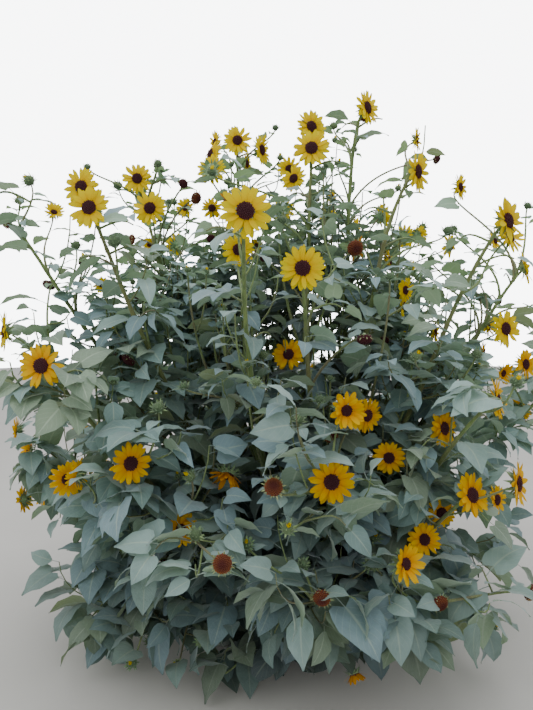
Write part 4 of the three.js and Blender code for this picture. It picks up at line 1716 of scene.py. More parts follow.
@dataclass
class Limbs:
    """The ribbed stems and twigs, and the finer side twigs of the sprays. Millimetres."""

    rule: GrowthRule
    seed: int = 11
    ring_gap: float = 24.0
    kink: float = 2.2
    sway_length: float = 95.0
    swelling: float = 1.16
    swelling_reach: float = 14.0
    twig_radius: float = 5.0
    twig_tip: float = 2.8
    collar: float = 1.5
    collar_reach: float = 16.0
    behind_head: float = 0.2
    spray_radius: float = 3.0
    spray_tip: float = 1.8
    spray_rings: int = 5
    spray_thickness: Pair = (0.9, 1.6)
    stems: list[Limb] = field(default_factory=list)
    twigs: list[Limb] = field(default_factory=list)
    fine_twigs: list[Limb] = field(default_factory=list)

    def polyline(self, path: Path, length: float, until: float) -> list[float]:
        """The shares of a path where its rings are."""
        count = max(4, round(length * until / self.ring_gap))
        return [until * i / count for i in range(count + 1)]

    def add_stem(self, stem: Stem, nodes: Sequence[float], rng: Draws) -> None:
        """Adds a stem, thicker at its nodes, with a slight bend at each.

        Args:
            stem: the stem.
            nodes: the shares of it where its nodes are.
            rng: the random draws.
        """
        head = stem.heads[0]
        until = 1.0 - self.behind_head * head.radius() / stem.length
        shares = self.polyline(stem.path, stem.length, until)
        sway = Vector(rng.uniform(-1.0, 1.0, 3))
        points = []
        radii = []
        for t in shares:
            near = min((abs(t - node) * stem.length for node in nodes), default=1000.0)
            lump = 1.0 + (self.swelling - 1.0) * math.exp(-((near / self.swelling_reach) ** 2))
            phase = t * stem.length / self.sway_length
            ends = math.sin(math.pi * min(1.0, t / until)) ** 0.5 if 0.0 < t < until else 0.0
            bend = Vector((math.sin(phase + sway.x * 3.0), math.cos(phase * 1.13 + sway.y * 3.0), 0.0))
            points.append(stem.path.point(t) + bend * (self.kink * ends))
            radii.append(self.rule.stem_radius(t) * lump)
        self.stems.append(Limb(points, radii, float(rng.uniform(0.0, 1.0))))

    def add_twig(self, path: Path, head: Head | None, radius: float, tip: float, rng: Draws) -> None:
        """Adds a twig with a collar where it leaves its stem.

        Args:
            path: its path.
            head: the head at its end, if it has one.
            radius: its radius at its foot.
            tip: its radius at its tip.
            rng: the random draws.
        """
        length = path.length()
        until = 1.0 - (self.behind_head * head.radius() / length if head else 0.0)
        shares = self.polyline(path, length, until)
        radii = []
        for t in shares:
            collar = 1.0 + (self.collar - 1.0) * math.exp(-((t * length / self.collar_reach) ** 2))
            radii.append(lerp(radius, tip, t) * collar)
        self.twigs.append(Limb([path.point(t) for t in shares], radii, float(rng.uniform(0.0, 1.0))))

    def add_fine_twig(self, path: Path, rng: Draws) -> None:
        """Adds one fine twig of a spray.

        Args:
            path: its path.
            rng: the random draws.
        """
        shares = [i / self.spray_rings for i in range(self.spray_rings + 1)]
        thick = lerp(*self.spray_thickness, path.start.z / PLANT_HEIGHT)
        radii = [lerp(self.spray_radius, self.spray_tip, t) * thick for t in shares]
        self.fine_twigs.append(Limb([path.point(t) for t in shares], radii, float(rng.uniform(0.0, 1.0))))


class HeadClearance:
    """Keeps leaves out of the flower heads and out of the space that the flowers face."""

    def __init__(self, heads: Sequence[Head], ahead: float = 7.0, wide: float = 0.95) -> None:
        """Keeps the places of the heads, and a clear way to the front for the flowers that look aside.

        Args:
            heads: all the heads of the plant.
            ahead: how far ahead of a head stays clear, in half widths.
            wide: how wide that space is, in half widths.
        """
        ways = [(head, aim(head.turn, 25.0) if head.nod < -25.0 else head.facing(), wide) for head in heads]
        aside = [head for head in heads if head.kind is HeadKind.BLOOM and head.at.y < 400.0]
        ways += [(head, aim(-6.0, 4.0), 0.8 * wide) for head in aside if abs(head.turn) > 25.0]
        self.at = np.array([tuple(head.at) for head, _, _ in ways])
        self.facing = np.array([tuple(way) for _, way, _ in ways])
        self.radius = np.array([head.radius() for head, _, _ in ways])
        shown = np.array([head.kind is not HeadKind.BUD for head, _, _ in ways])
        self.ahead = np.where(shown, ahead, 1.0) * self.radius
        self.wide = np.array([share for _, _, share in ways]) * self.radius

    def clear(self, points: np.ndarray) -> bool:
        """Whether all of some points keep clear of every head.

        Args:
            points: the points, one in a row.

        Returns:
            Whether they do.
        """
        offset = points[:, None, :] - self.at[None, :, :]
        forward = (offset * self.facing[None, :, :]).sum(axis=2)
        aside = np.linalg.norm(offset - forward[:, :, None] * self.facing[None, :, :], axis=2)
        inside = (forward > -0.3 * self.radius) & (forward < self.ahead) & (aside < self.wide)
        return not inside.any()


class LeafTint(Enum):
    """The tints that the leaves are dealt, spray by spray."""

    SHADE = 0
    GREY = 1
    BLUE = 2
    PALE = 3
    FRESH = 4
    OLIVE = 5


@dataclass(frozen=True)
class CrownGaps:
    """Where leaves close the plant, and where the sky and bare stems show between them. Millimetres."""

    opens_at: Pair = (1500.0, 1180.0)
    opens_over: float = 420.0
    opens_out: Pair = (450.0, 1000.0)
    opens_right: Pair = (100.0, 560.0)
    behind: float = 150.0
    behind_closed: Pair = (0.95, 0.28)
    behind_heights: Pair = (1330.0, 1510.0)
    front: float = -40.0
    stems_across: Pair = (-500.0, 120.0)
    stems_heights: Pair = (1020.0, 1480.0)
    stems_bare: float = 0.6
    node_gaps: Pair = (41.0, 66.0)
    open_node_gaps: Pair = (180.0, 560.0)
    open_across: Pair = (-200.0, 600.0)
    filled_heights: Pair = (1080.0, 1560.0)
    filled: float = 0.48

    def openness(self, base: Vector) -> float:
        """How open the plant is at a point.

        Args:
            base: the point.

        Returns:
            A share, 0 where leaves close the plant and 1 where the sky shows between them.
        """
        out = max(ramp(math.hypot(base.x, base.y), *self.opens_out), ramp(base.x, *self.opens_right))
        crown = (base.z - lerp(*self.opens_at, out)) / self.opens_over
        if base.y > self.behind:
            crown -= lerp(*self.behind_closed, ramp(base.z, *self.behind_heights))
        left, right = self.stems_across
        low, high = self.stems_heights
        bare = left < base.x < right and base.y < self.front and low < base.z < high
        return max(clamp(crown), self.stems_bare if bare else 0.0)

    def node_gap(self, base: Vector) -> float:
        """The distance from one leaf or fine twig of a stem to the next.

        Args:
            base: the point of the stem.

        Returns:
            The distance, on average.
        """
        closed = lerp(*self.node_gaps, base.z / PLANT_HEIGHT)
        low, high = self.filled_heights
        if base.y > self.front and low < base.z < high:
            closed *= self.filled
        wide = lerp(*self.open_node_gaps, ramp(base.x, *self.open_across))
        return lerp(closed, wide, self.openness(base))


@dataclass(frozen=True)
class LeafLightAndTints:
    """The painted light and shade of a leaf, and which tint its spray has, by where it grows. Millimetres.
    """

    reach: Pair = (950.0, 480.0)
    # The tone paints light and shade: darker deep inside the plant, lighter near the outside, up high, at
    # the sides, in the crown and at the right.
    darkest_painted_shade: float = -0.1
    outside: float = 0.52
    painted_light_upwards: float = 0.56
    painted_side_light_from: float = 700.0
    sides: Pair = (-0.04, 0.28)
    painted_side_light_up_to: float = 1100.0
    crown: float = 0.24
    painted_crown_light_heights: Pair = (1200.0, 1700.0)
    right: float = 0.26
    painted_right_light_from: Pair = (120.0, 370.0)
    painted_right_light_height: float = 1050.0
    painted_right_light_over: float = 600.0
    shade_chance: float = 0.75
    shade_inside: float = 0.5
    shade_below: float = 1350.0
    glare_right_of: float = 180.0
    glare_above: float = 700.0
    painted_light_right_of: float = 250.0
    painted_light_above: float = 850.0
    fresh_above: float = 1500.0
    olive_chance: float = 0.12

    def outness(self, base: Vector) -> float:
        """How near a point is to the plant's outside, from 0 at its middle line to about 1."""
        return math.hypot(base.x, base.y) / lerp(*self.reach, base.z / PLANT_HEIGHT)

    def tone(self, base: Vector) -> float:
        """A leaf's tone, a painted light and shade: darker deep inside the plant, lighter near the outside,
        the top and the right side.

        Args:
            base: the leaf's middle.

        Returns:
            The tone, where 0 is dark and 1 is light, which may lie outside the two.
        """
        light = self.darkest_painted_shade + self.painted_light_upwards * base.z / PLANT_HEIGHT
        light += self.outside * min(1.1, self.outness(base))
        side = min(1.0, abs(base.x) / self.painted_side_light_from)
        light += side * lerp(*self.sides, min(1.0, base.z / self.painted_side_light_up_to))
        light += self.crown * ramp(base.z, *self.painted_crown_light_heights)
        off = abs(base.z - self.painted_right_light_height) / self.painted_right_light_over
        return light + self.right * ramp(base.x, *self.painted_right_light_from) * max(0.0, 1.0 - off)

    def tint(self, base: Vector, rng: Draws) -> LeafTint:
        """The tint of a spray: a painted shade inside the plant, paler tints as painted light on the right
        side, and fresher tints high up, partly young leaves and partly painted light.

        Args:
            base: where the spray starts.
            rng: the random draws.

        Returns:
            The tint.
        """
        roll = rng.uniform()
        inside = self.outness(base) < self.shade_inside and base.z < self.shade_below
        glare = base.x > self.glare_right_of and base.z > self.glare_above
        # SHADE is a painted shade for sprays inside the plant, kept off the right side where the glare is.
        if inside and not glare and roll < self.shade_chance:
            return LeafTint.SHADE
        # Paler tints at the right side are painted light.
        if base.x > self.painted_light_right_of and base.z > self.painted_light_above and roll < 0.5:
            return LeafTint.PALE if roll < 0.3 else LeafTint.BLUE
        # Fresher and paler tints high up are partly young leaves and partly painted light.
        if base.z > self.fresh_above and roll < 0.6:
            return LeafTint.FRESH if roll < 0.16 else LeafTint.PALE
        if roll > 1.0 - self.olive_chance:
            return LeafTint.OLIVE
        return (LeafTint.GREY, LeafTint.BLUE, LeafTint.PALE)[int(rng.integers(3))]


@dataclass
class Foliage:
    """The leaves, in sprays on the finer twigs that carry the source's rule on. Millimetres and degrees.

    A pair of numbers holds the least and the most, or what is so at the ground and at the plant's top, or
    where leaves close the plant and where it is open.
    """

    rule: GrowthRule
    limbs: Limbs
    clearance: HeadClearance
    box: tuple[Vector, Vector]
    gaps: CrownGaps = CrownGaps()
    # The leaves' painted light and shade by place, and their sprays' tints.
    tones: LeafLightAndTints = LeafLightAndTints()
    seed: int = 23
    spray_leaves: Pair = (5.4, 1.4)
    spray_leaf: Pair = (0.52, 0.82)
    bare_sprays_right_of: float = 250.0
    skirt_right_of: float = 480.0
    skirt_below: float = 300.0
    spray_foot: float = 0.05
    bare_share: float = 0.3
    bare_below_head: Pair = (190.0, 150.0)
    twig_bare: float = 0.1
    gap_spread: Pair = (0.75, 1.25)
    node_leaf: Pair = (0.45, 0.72)
    fine_lengths: Pair = (150.0, 290.0)
    fine_high: float = 1.05
    fine_rise: float = 0.9
    fine_leaf_gaps: Pair = (40.0, 120.0)
    fine_leaf: Pair = (0.4, 0.68)
    fine_foot: float = 0.15
    end_leaf: float = 0.4
    last_leaf: float = 0.96
    last_leaf_size: float = 0.75
    side_turns: Pair = (25.0, 95.0)
    hang_below: float = 620.0
    hang_beyond: float = 260.0
    hang_right: float = 420.0
    falls: Pair = (-34.0, -3.0)
    fall_spread: Pair = (30.0, 12.0)
    roll_spread: Pair = (34.0, 15.0)
    try_turns: Pair = (-60.0, 60.0)
    try_lifts: Pair = (-10.0, 25.0)
    leaf_half_width: float = 0.24
    narrow_chance: Pair = (-0.4, 0.7)
    tone_spread: float = 0.11
    bud_chance: Pair = (0.05, 0.8)
    bud_widths: Pair = (18.0, 34.0)
    bud_nods: Pair = (30.0, 80.0)
    pairs_below_bud: Pair = (0.94, 0.8)
    pair_sizes: Pair = (0.55, 0.95)
    small_head_leaf: float = 78.0
    head_leaf_backs: tuple[float, ...] = (55.0, 100.0, 150.0)
    head_leaf_sizes: Pair = (0.6, 1.15)
    fresh_above: float = 1400.0
    shoot_radii: Pair = (8.5, 3.0)
    shoot_clothed: Pair = (0.55, 0.97)
    shoot_pairs: Pair = (0.98, 0.93)
    shoot_buds: Pair = (26.0, 38.0)
    shoot_bud_nod: float = 65.0
    crown_top: float = 2250.0
    crown_slopes: Pair = (0.36, 0.45)
    lowest: float = 12.0
    inside: float = 16.0
    tries: int = 6
    dropped: int = 0
    buds: list[Head] = field(default_factory=list)
    places: dict[LeafTint, Places] = field(default_factory=dict)
    rng: Draws = field(init=False)

    def __post_init__(self) -> None:
        """Starts the random draws."""
        self.rng = np.random.default_rng(self.seed)

    @staticmethod
    def shapes() -> list[Object]:
        """The leaf shapes, the broad ones first and the two narrow ones last.

        Returns:
            The shapes.
        """
        kinds = (
            LeafShape("broad_leaf", 0.31, 56.0, 11.0, twist=-6.0),
            LeafShape("heart_leaf", 0.35, 40.0, 15.0, twist=12.0),
            LeafShape("hanging_leaf", 0.29, 84.0, 8.0, twist=-18.0),
            LeafShape("oval_leaf", 0.25, 66.0, 18.0, twist=20.0, outline=LANCE_OUTLINE),
            LeafShape("narrow_leaf", 0.19, 52.0, 16.0, twist=-14.0, stalk=0.14, outline=LANCE_OUTLINE),
            LeafShape("upper_leaf", 0.22, 70.0, 20.0, twist=16.0, stalk=0.16),
        )
        return [kind.make() for kind in kinds]

    def room_for(self, points: Sequence[Vector]) -> bool:
        """Whether some points lie in the plant's box, under its crown's outline and clear of every head.

        Args:
            points: the points.

        Returns:
            Whether there is room.
        """
        spots = np.array([tuple(point) for point in points])
        slopes = np.where(spots[:, 0] < 0.0, -self.crown_slopes[0], self.crown_slopes[1])
        if (spots[:, 2] > self.crown_top - slopes * spots[:, 0]).any():
            return False
        low = np.array(tuple(self.box[0])) / METRES + self.inside
        top = np.array(tuple(self.box[1])) / METRES - self.inside
        low[2] = self.lowest
        return bool((spots > low).all() and (spots < top).all() and self.clearance.clear(spots))

    def leaf(self, at: Vector, heading: Vector, size: float, tint: LeafTint) -> None:
        """Adds one leaf where it has room, turned a little if it must be.

        Args:
            at: where its stalk starts.
            heading: from there to its tip.
            size: its length with its stalk.
            tint: its spray's tint.
        """
        rng = self.rng
        high = at.z / PLANT_HEIGHT
        narrow = rng.uniform() < lerp(*self.narrow_chance, high)
        pick = int(rng.integers(4, 6)) if narrow else int(rng.integers(0, 4))
        roll = math.radians(rng.normal(0.0, lerp(*self.roll_spread, high)))
        turns = rng.uniform(*self.try_turns, self.tries)
        lifts = rng.uniform(*self.try_lifts, self.tries)
        # The tone is painted light and shade by where the leaf grows, with some random spread.
        tone = clamp(self.tones.tone(at + heading * (0.5 * size)) + rng.normal(0.0, self.tone_spread))
        for attempt in range(self.tries):
            along = heading
            if attempt:
                along = Quaternion(UP, math.radians(turns[attempt])) @ along
                side = along.cross(UP).normalized()
                along = Quaternion(side, math.radians(lifts[attempt])) @ along
            above = (UP - along * along.dot(UP)).normalized()
            above = Quaternion(along, roll) @ above
            wide = above.cross(along) * (self.leaf_half_width * size)
            arc = ((1.0, 0.0), (0.8, 0.08), (0.6, 0.13), (0.35, 0.12))
            middle = [at + along * (share * size) + above * (hump * size) for share, hump in arc]
            if self.room_for(middle + [middle[2] + wide, middle[2] - wide]):
                self.places.setdefault(tint, Places()).add(at, along, above, size, pick, tone)
                return
        self.dropped += 1

    def dress(self, twig: Path, first: float, count: int, sizes: Pair, tint: LeafTint) -> None:
        """Puts leaves along a fine twig, by turns on its two sides.

        Args:
            twig: the twig.
            first: the share of it that stays bare.
            count: how many leaves.
            sizes: the shortest and longest leaf.
            tint: their tint.
        """
        high = twig.start.z / PLANT_HEIGHT
        fall = lerp(*self.falls, high)
        spread = lerp(*self.fall_spread, high)
        bearing = bearing_of(twig.end - twig.start)
        for i in range(count):
            t = lerp(first, self.last_leaf, (i + 0.4) / count)
            turn = bearing + (-1.0) ** i * self.rng.uniform(*self.side_turns)
            size = self.rng.uniform(*sizes) * lerp(1.0, self.last_leaf_size, t)
            self.leaf(twig.point(t), aim(turn, fall + self.rng.normal(5.0, spread)), size, tint)

    def spray(self, place: LeafPlace) -> None:
        """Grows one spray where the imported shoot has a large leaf: a fine twig along that leaf's reach.

        Args:
            place: where the large leaf is.
        """
        tint = self.tones.tint(place.base, self.rng)
        thin = self.gaps.openness(place.base)
        end = place.elbow.lerp(place.tip, 0.3)
        leave = place.base + tilted(place.away, place.droop * 0.2 + 34.0) * (place.length * 0.28)
        twig = Path(place.base, leave, place.elbow + UP * (0.02 * place.length), end)
        self.limbs.add_fine_twig(twig, self.rng)
        last = place.tip - end
        self.leaf(end, last.normalized(), last.length * lerp(1.0, 0.7, thin), tint)
        count = round(lerp(*self.spray_leaves, thin) + self.rng.uniform(-0.8, 0.8))
        if place.tip.x > self.skirt_right_of and place.tip.z < self.skirt_below:
            count = 1
        if place.base.x > self.bare_sprays_right_of and thin > 0.5:
            count = 0
        low, high = self.spray_leaf
        self.dress(twig, self.spray_foot, count, (place.length * low, place.length * high), tint)

    def fine_twig(self, path: Path, t: float, turn: float, rise: float) -> None:
        """Grows one finer twig by the source's rule for twigs with no place of their own.

        Args:
            path: the stem or twig.
            t: the share of it where the finer twig starts.
            turn: the way it leaves, in degrees round the path.
            rise: how far its end rises, as a share of its length, or falls where this is negative.
        """
        rng = self.rng
        start = path.point(t)
        high = start.z / PLANT_HEIGHT
        outward = self.rule.outward_at(path, t, turn)
        lean = (path.tangent(t) * self.rule.wild_along + outward * self.rule.wild_outward).normalized()
        thin = self.gaps.openness(start)
        length = rng.uniform(*self.fine_lengths) * lerp(1.0, self.fine_high, high)
        if rise < 0:
            lean = Vector((outward.x, outward.y, max(0.0, lean.z))).normalized()
        else:
            rise = lerp(rise, self.fine_rise, thin)
        end = start + lean * (self.rule.wild_reach * length) + UP * (rise * length)
        leave = start + lean * (self.rule.wild_handle * length)
        twig = Path(start, leave, end - UP * (0.6 * rise * length), end)
        if not self.room_for([end, twig.point(0.6)]):
            return
        tint = self.tones.tint(start, rng)
        self.limbs.add_fine_twig(twig, rng)
        size = lerp(self.rule.leaf_low, self.rule.leaf_high, high)
        count = max(1, round(length / lerp(*self.fine_leaf_gaps, thin)))
        sizes = (size * self.fine_leaf[0], size * self.fine_leaf[1])
        self.dress(twig, self.fine_foot, count, sizes, tint)
        if rng.uniform() < lerp(*self.bud_chance, thin):
            across = rng.uniform(*self.bud_widths)
            bearing = bearing_of(lean)
            self.buds.append(Head(HeadKind.BUD, end, across, bearing, rng.uniform(*self.bud_nods)))
            self.leaf_pairs(twig, self.pairs_below_bud, tint)
        else:
            self.leaf(end, aim(bearing_of(lean), rng.normal(0.0, 14.0)), size * self.end_leaf, tint)

    def leaf_pairs(self, twig: Path, shares: Sequence[float], tint: LeafTint) -> None:
        """Puts pairs of small level leaves, each pair across the last, below a bud.

        Args:
            twig: the twig or shoot with the bud.
            shares: the share of it where each pair grows.
            tint: their tint.
        """
        turn = self.rng.uniform(0.0, 360.0)
        for t in shares:
            size = self.small_head_leaf * self.rng.uniform(*self.pair_sizes)
            for side in (0.0, 180.0):
                self.leaf(twig.point(t), aim(turn + side, self.rng.normal(12.0, 9.0)), size, tint)
            turn += 90.0

    def clothe(self, path: Path, first: float, last: float) -> None:
        """Puts a leaf or a fine twig at every node of a stem or twig.

        Args:
            path: the stem or twig.
            first: the share where its leaves begin.
            last: the share where they end.
        """
        rng = self.rng
        length = path.length()
        start = rng.uniform(0.0, 360.0)
        at = first * length
        k = 0
        while True:
            at += self.gaps.node_gap(path.point(at / length)) * rng.uniform(*self.gap_spread)
            if at > last * length:
                return
            k += 1
            t = at / length
            turn = start + self.rule.node_turn * k
            base = path.point(t)
            hangs = base.z < self.hang_below and math.hypot(base.x, base.y) > self.hang_beyond
            if hangs and k % 2 == 0 and base.x < self.hang_right:
                self.fine_twig(path, t, turn + 60.0, -self.rule.wild_rise)
            if k % 2 == 1:
                self.fine_twig(path, t, turn, self.rule.wild_rise)
                continue
            high = base.z / PLANT_HEIGHT
            outward = self.rule.outward_at(path, t, turn)
            size = lerp(self.rule.leaf_low, self.rule.leaf_high, high) * rng.uniform(*self.node_leaf)
            fall = lerp(*self.falls, high) + rng.normal(6.0, 12.0)
            self.leaf(base, aim(bearing_of(outward), fall), size, self.tones.tint(base, rng))

    def head_leaves(self, path: Path, head: Head) -> None:
        """Grows the small leaves on the last stretch of a stem or twig.

        Args:
            path: the stem or twig.
            head: the head at its end.
        """
        rng = self.rng
        length = path.length()
        tint = LeafTint.FRESH if head.at.z > self.fresh_above else LeafTint.PALE
        turn = rng.uniform(0.0, 360.0)
        for back in self.head_leaf_backs:
            t = 1.0 - (back + rng.uniform(-12.0, 12.0)) / length
            turn += self.rule.node_turn
            if t > 0.3:
                size = self.small_head_leaf * rng.uniform(*self.head_leaf_sizes) * (0.6 + back / 200.0)
                size *= lerp(2.0, 1.0, min(1.0, head.at.z / 1000.0))
                self.leaf(path.point(t), aim(turn, rng.uniform(-20.0, 30.0)), size, tint)

    def grow(self, stems: Sequence[Stem]) -> None:
        """Grows every spray, fine twig and leaf.

        Args:
            stems: the stems with their twigs and leaf places.
        """
        for stem in stems:
            for place in stem.places:
                self.spray(place)
            below_head, below_twig_head = self.bare_below_head
            self.clothe(stem.path, stem.bare * self.bare_share, 1.0 - below_head / stem.length)
            self.head_leaves(stem.path, stem.heads[0])
            for twig in stem.twigs:
                self.clothe(twig.path, self.twig_bare, 1.0 - below_twig_head / twig.path.length())
                self.head_leaves(twig.path, twig.head)
            for shoot in self.rule.side_shoots(stem, self.rng):
                if not self.room_for([shoot.end]):
                    continue
                self.limbs.add_twig(shoot, None, *self.shoot_radii, self.rng)
                self.clothe(shoot, *self.shoot_clothed)
                self.leaf_pairs(shoot, self.shoot_pairs, LeafTint.GREY)
                across = self.rng.uniform(*self.shoot_buds)
                bearing = bearing_of(shoot.end)
                self.buds.append(Head(HeadKind.BUD, shoot.end, across, bearing, self.shoot_bud_nod))


class HeadPiece(Enum):
    """The pieces that all the heads are joined into: the shape, the finish and the material slot of each."""

    RAYS_UPPER = ("ray", "rays_upper", "ray_petals")
    RAYS_LOWER = ("ray", "rays_lower", "ray_petals")
    RAYS_FADED = ("ray", "rays_faded", "ray_petals")
    DISCS = ("dome", "disc", "flower_disc")
    DISC_FLORETS = ("floret", "disc", "flower_disc")
    SPENT_CONES = ("cone", "cone", "spent_heads")
    SPENT_FLORETS = ("floret", "cone", "spent_heads")
    DARK_CONES = ("cone", "disc", "spent_heads")
    DARK_FLORETS = ("floret", "disc", "spent_heads")
    PALE_BRACTS = ("bract", "pale_bract", "bud_green")
    CUPS = ("cup", "bract", "bud_green")
    BUD_CORES = ("core", "bud_heart", "bud_green")
    BRACTS = ("bract", "bract", "bud_green")


@dataclass(frozen=True)
class Pose:
    """How a head is held: its middle, the way it faces, two directions across it, and its half width."""

    at: Vector
    facing: Vector
    right: Vector
    top: Vector
    radius: float

    def out(self, angle: float) -> Vector:
        """The direction across the head at an angle in degrees."""
        return self.right * math.cos(math.radians(angle)) + self.top * math.sin(math.radians(angle))

    def lean(self, out: Vector, tilt: float) -> tuple[Vector, Vector]:
        """A direction across the head, leant forwards by some degrees, and the one square to it."""
        cosine, sine = math.cos(math.radians(tilt)), math.sin(math.radians(tilt))
        return out * cosine + self.facing * sine, self.facing * cosine - out * sine

    def point(self, out: Vector, reach: float, ahead: float) -> Vector:
        """A point of the head: a share of its half width outwards, and a share to the front."""
        return self.at + out * (reach * self.radius) + self.facing * (ahead * self.radius)


@dataclass(frozen=True)
class Whorl:
    """A ring of bracts: its lengths are shares of the head's half width, its angles are in degrees."""

    count: int
    reach: float
    ahead: float
    tilt: float
    length: float
    shortest: float = 0.8
    sway: float = 5.0
    loose: float = 10.0
    inward: bool = False


@dataclass
class FlowerHeads:
    """The rays, discs, bracts and buds of every head, with sizes as shares of the head's half width.

    The widths and heights that choose how a head looks are in millimetres, and its turns are in degrees.
    """

    seed: int = 37
    disc: float = 0.345
    disc_rise: float = 0.3
    disc_florets: int = 80
    young_disc: float = 0.85
    cone: float = 0.84
    cone_rise: float = 0.72
    cone_florets: int = 110
    eased_turns: Pair = (40.0, 110.0)
    eased_ahead_of: float = 150.0
    front_ease: float = 0.66
    lemon_above: float = 1250.0
    wilted_below: float = -30.0
    open_above: float = 128.0
    young_below: float = 88.0
    old_up_to: float = 0.14
    young_up_to: float = 0.24
    ray_counts: tuple[int, int] = (14, 12)
    ray_lengths: Pair = (0.81, 0.76)
    ray_foot: float = 0.26
    lost_rays: float = 0.22
    opening_buds: float = 0.35
    stores: dict[HeadPiece, Places] = field(default_factory=lambda: {piece: Places() for piece in HeadPiece})
    rng: Draws = field(init=False)

    def __post_init__(self) -> None:
        """Starts the random draws."""
        self.rng = np.random.default_rng(self.seed)

    def pose(self, head: Head) -> Pose:
        """How a head is held, with the flowers at the right side eased to the front.

        Args:
            head: the head.

        Returns:
            Its pose.
        """
        low, high = self.eased_turns
        eases = head.kind is HeadKind.BLOOM and low < head.turn < high and head.at.y < self.eased_ahead_of
        turn = head.turn * (self.front_ease if eases else 1.0)
        facing = aim(turn, head.nod)
        right = level(turn + 90.0)
        return Pose(head.at, facing, right, facing.cross(right), head.radius())

    def age_of(self, head: Head) -> HeadAge:
        """How old a bloom looks: by its hang, by its width, or else dealt out.

        Args:
            head: the bloom.

        Returns:
            Its age.
        """
        if head.nod < self.wilted_below:
            return HeadAge.WILTED
        roll = self.rng.uniform()
        if head.across > self.open_above:
            return HeadAge.OPEN
        if head.across < self.young_below:
            return HeadAge.YOUNG
        if roll < self.old_up_to:
            return HeadAge.OLD
        return HeadAge.YOUNG if roll < self.young_up_to else HeadAge.OPEN

    def add(self, head: Head) -> None:
        """Adds one head of its kind."""
        makers = {HeadKind.BLOOM: self.add_bloom, HeadKind.BUD: self.add_bud, HeadKind.SPENT: self.add_spent}
        makers[head.kind](head, self.pose(head))

    def add_bloom(self, head: Head, pose: Pose) -> None:
        """Adds a flower in bloom: two whorls of rays round a dark disc, a green cup and its bracts.

        Args:
            head: the head.
            pose: how it is held.
        """
        rng = self.rng
        age = self.age_of(head)
        store = HeadPiece.RAYS_UPPER if head.at.z > self.lemon_above else HeadPiece.RAYS_LOWER
        if age is HeadAge.WILTED:
            store = HeadPiece.RAYS_FADED
        start = rng.uniform(0.0, 360.0)
        for whorl, count in enumerate(self.ray_counts):
            for i in range(count):
                if age in (HeadAge.OLD, HeadAge.WILTED) and rng.uniform() < self.lost_rays:
                    continue
                out = pose.out(start + 360.0 * (i + 0.5 * whorl) / count + rng.normal(0.0, 4.0))
                tilt = age.value[whorl] + rng.normal(0.0, 5.0 if age is HeadAge.OPEN else 10.0)
                along, above = pose.lean(out, tilt)
                above = Quaternion(along, math.radians(rng.normal(0.0, 13.0))) @ above
                foot = pose.point(out, self.ray_foot, 0.03 * whorl - 0.02)
                length = pose.radius * self.ray_lengths[whorl] * rng.uniform(0.88, 1.0)
                size = (length, length * rng.uniform(0.82, 1.05), length)
                tone = min(1.0, rng.uniform(0.0, 0.5) + (0.5 if age is HeadAge.OLD else 0.0))
                self.stores[store].add(foot, along, above, size, int(rng.integers(0, 5)), tone)
        size = self.disc * pose.radius * (self.young_disc if age is HeadAge.YOUNG else 1.0)
        stores = (HeadPiece.DISCS, HeadPiece.DISC_FLORETS)
        self.dome(pose, 0.02, size, self.disc_rise, self.disc_florets, stores)
        self.cup(pose, 0.4, HeadPiece.BRACTS, (-20.0, -38.0), 0.48)

    def whorl(self, pose: Pose, ring: Whorl, first: float, store: HeadPiece) -> None:
        """Adds one ring of bracts.

        Args:
            pose: how its head is held.
            ring: the ring.
            first: where it starts, as a share of the step between two bracts.
            store: where the bracts go.
        """
        rng = self.rng
        for i in range(ring.count):
            out = pose.out(360.0 * (i + first) / ring.count + rng.normal(0.0, ring.sway))
            along, above = pose.lean(out, ring.tilt + rng.normal(0.0, ring.loose))
            size = pose.radius * ring.length * rng.uniform(ring.shortest, 1.1)
            foot = pose.point(out, ring.reach, ring.ahead)
            turned = -above if ring.inward else above
            self.stores[store].add(foot, along, turned, size, int(rng.integers(0, 2)), rng.uniform())

    def cup(self, pose: Pose, wide: float, store: HeadPiece, tilts: Pair, length: float) -> None:
        """Adds the green cup behind a head, with two whorls of bracts round it.

        Args:
            pose: how the head is held.
            wide: the cup's radius.
            store: where the bracts go.
            tilts: how far each whorl leans to the head's front, in degrees.
            length: the length of a bract.
        """
        middle = pose.point(pose.right, 0.0, -0.02)
        size = wide * pose.radius
        self.stores[HeadPiece.CUPS].add(middle, pose.right, pose.facing, size, 0, self.rng.uniform())
        self.whorl(pose, Whorl(13, wide * 0.86, -0.08, tilts[0], length), 0.0, store)
        self.whorl(pose, Whorl(12, wide * 0.86, -0.15, tilts[1], length), 0.5, store)

    def dome(
        self,
        pose: Pose,
        ahead: float,
        size: float,
        rise: float,
        count: int,
        stores: tuple[HeadPiece, HeadPiece],
        rim: float = 0.62,
    ) -> None:
        """Adds a dome, with florets packed over it by the golden angle.

        Args:
            pose: how its head is held.
            ahead: how far ahead of the head's middle the dome's foot is.
            size: the dome's radius, in millimetres.
            rise: its height, as a share of its radius.
            count: how many florets there are.
            stores: where the dome and the florets go.
            rim: the share of the radius where the rim's colour begins.
        """
        domes, florets = (self.stores[store] for store in stores)
        centre = pose.point(pose.right, 0.0, ahead)
        domes.add(centre, pose.right, pose.facing, size, 0, 0.0)
        grain = size * 1.9 / math.sqrt(count)
        for i in range(count):
            share = math.sqrt((i + 0.5) / count)
            out = pose.out(137.508 * i)
            bulge = math.sqrt(1.0 - share * share)
            normal = (out * (share * rise) + pose.facing * max(0.15, bulge)).normalized()
            point = centre + (out * share + pose.facing * (rise * bulge)) * size
            tone = max(0.0, (share - rim) / (1.0 - rim)) * self.rng.uniform(0.6, 1.0)
            florets.add(point, out.cross(normal) + out * 0.01, normal, grain, 0, tone)

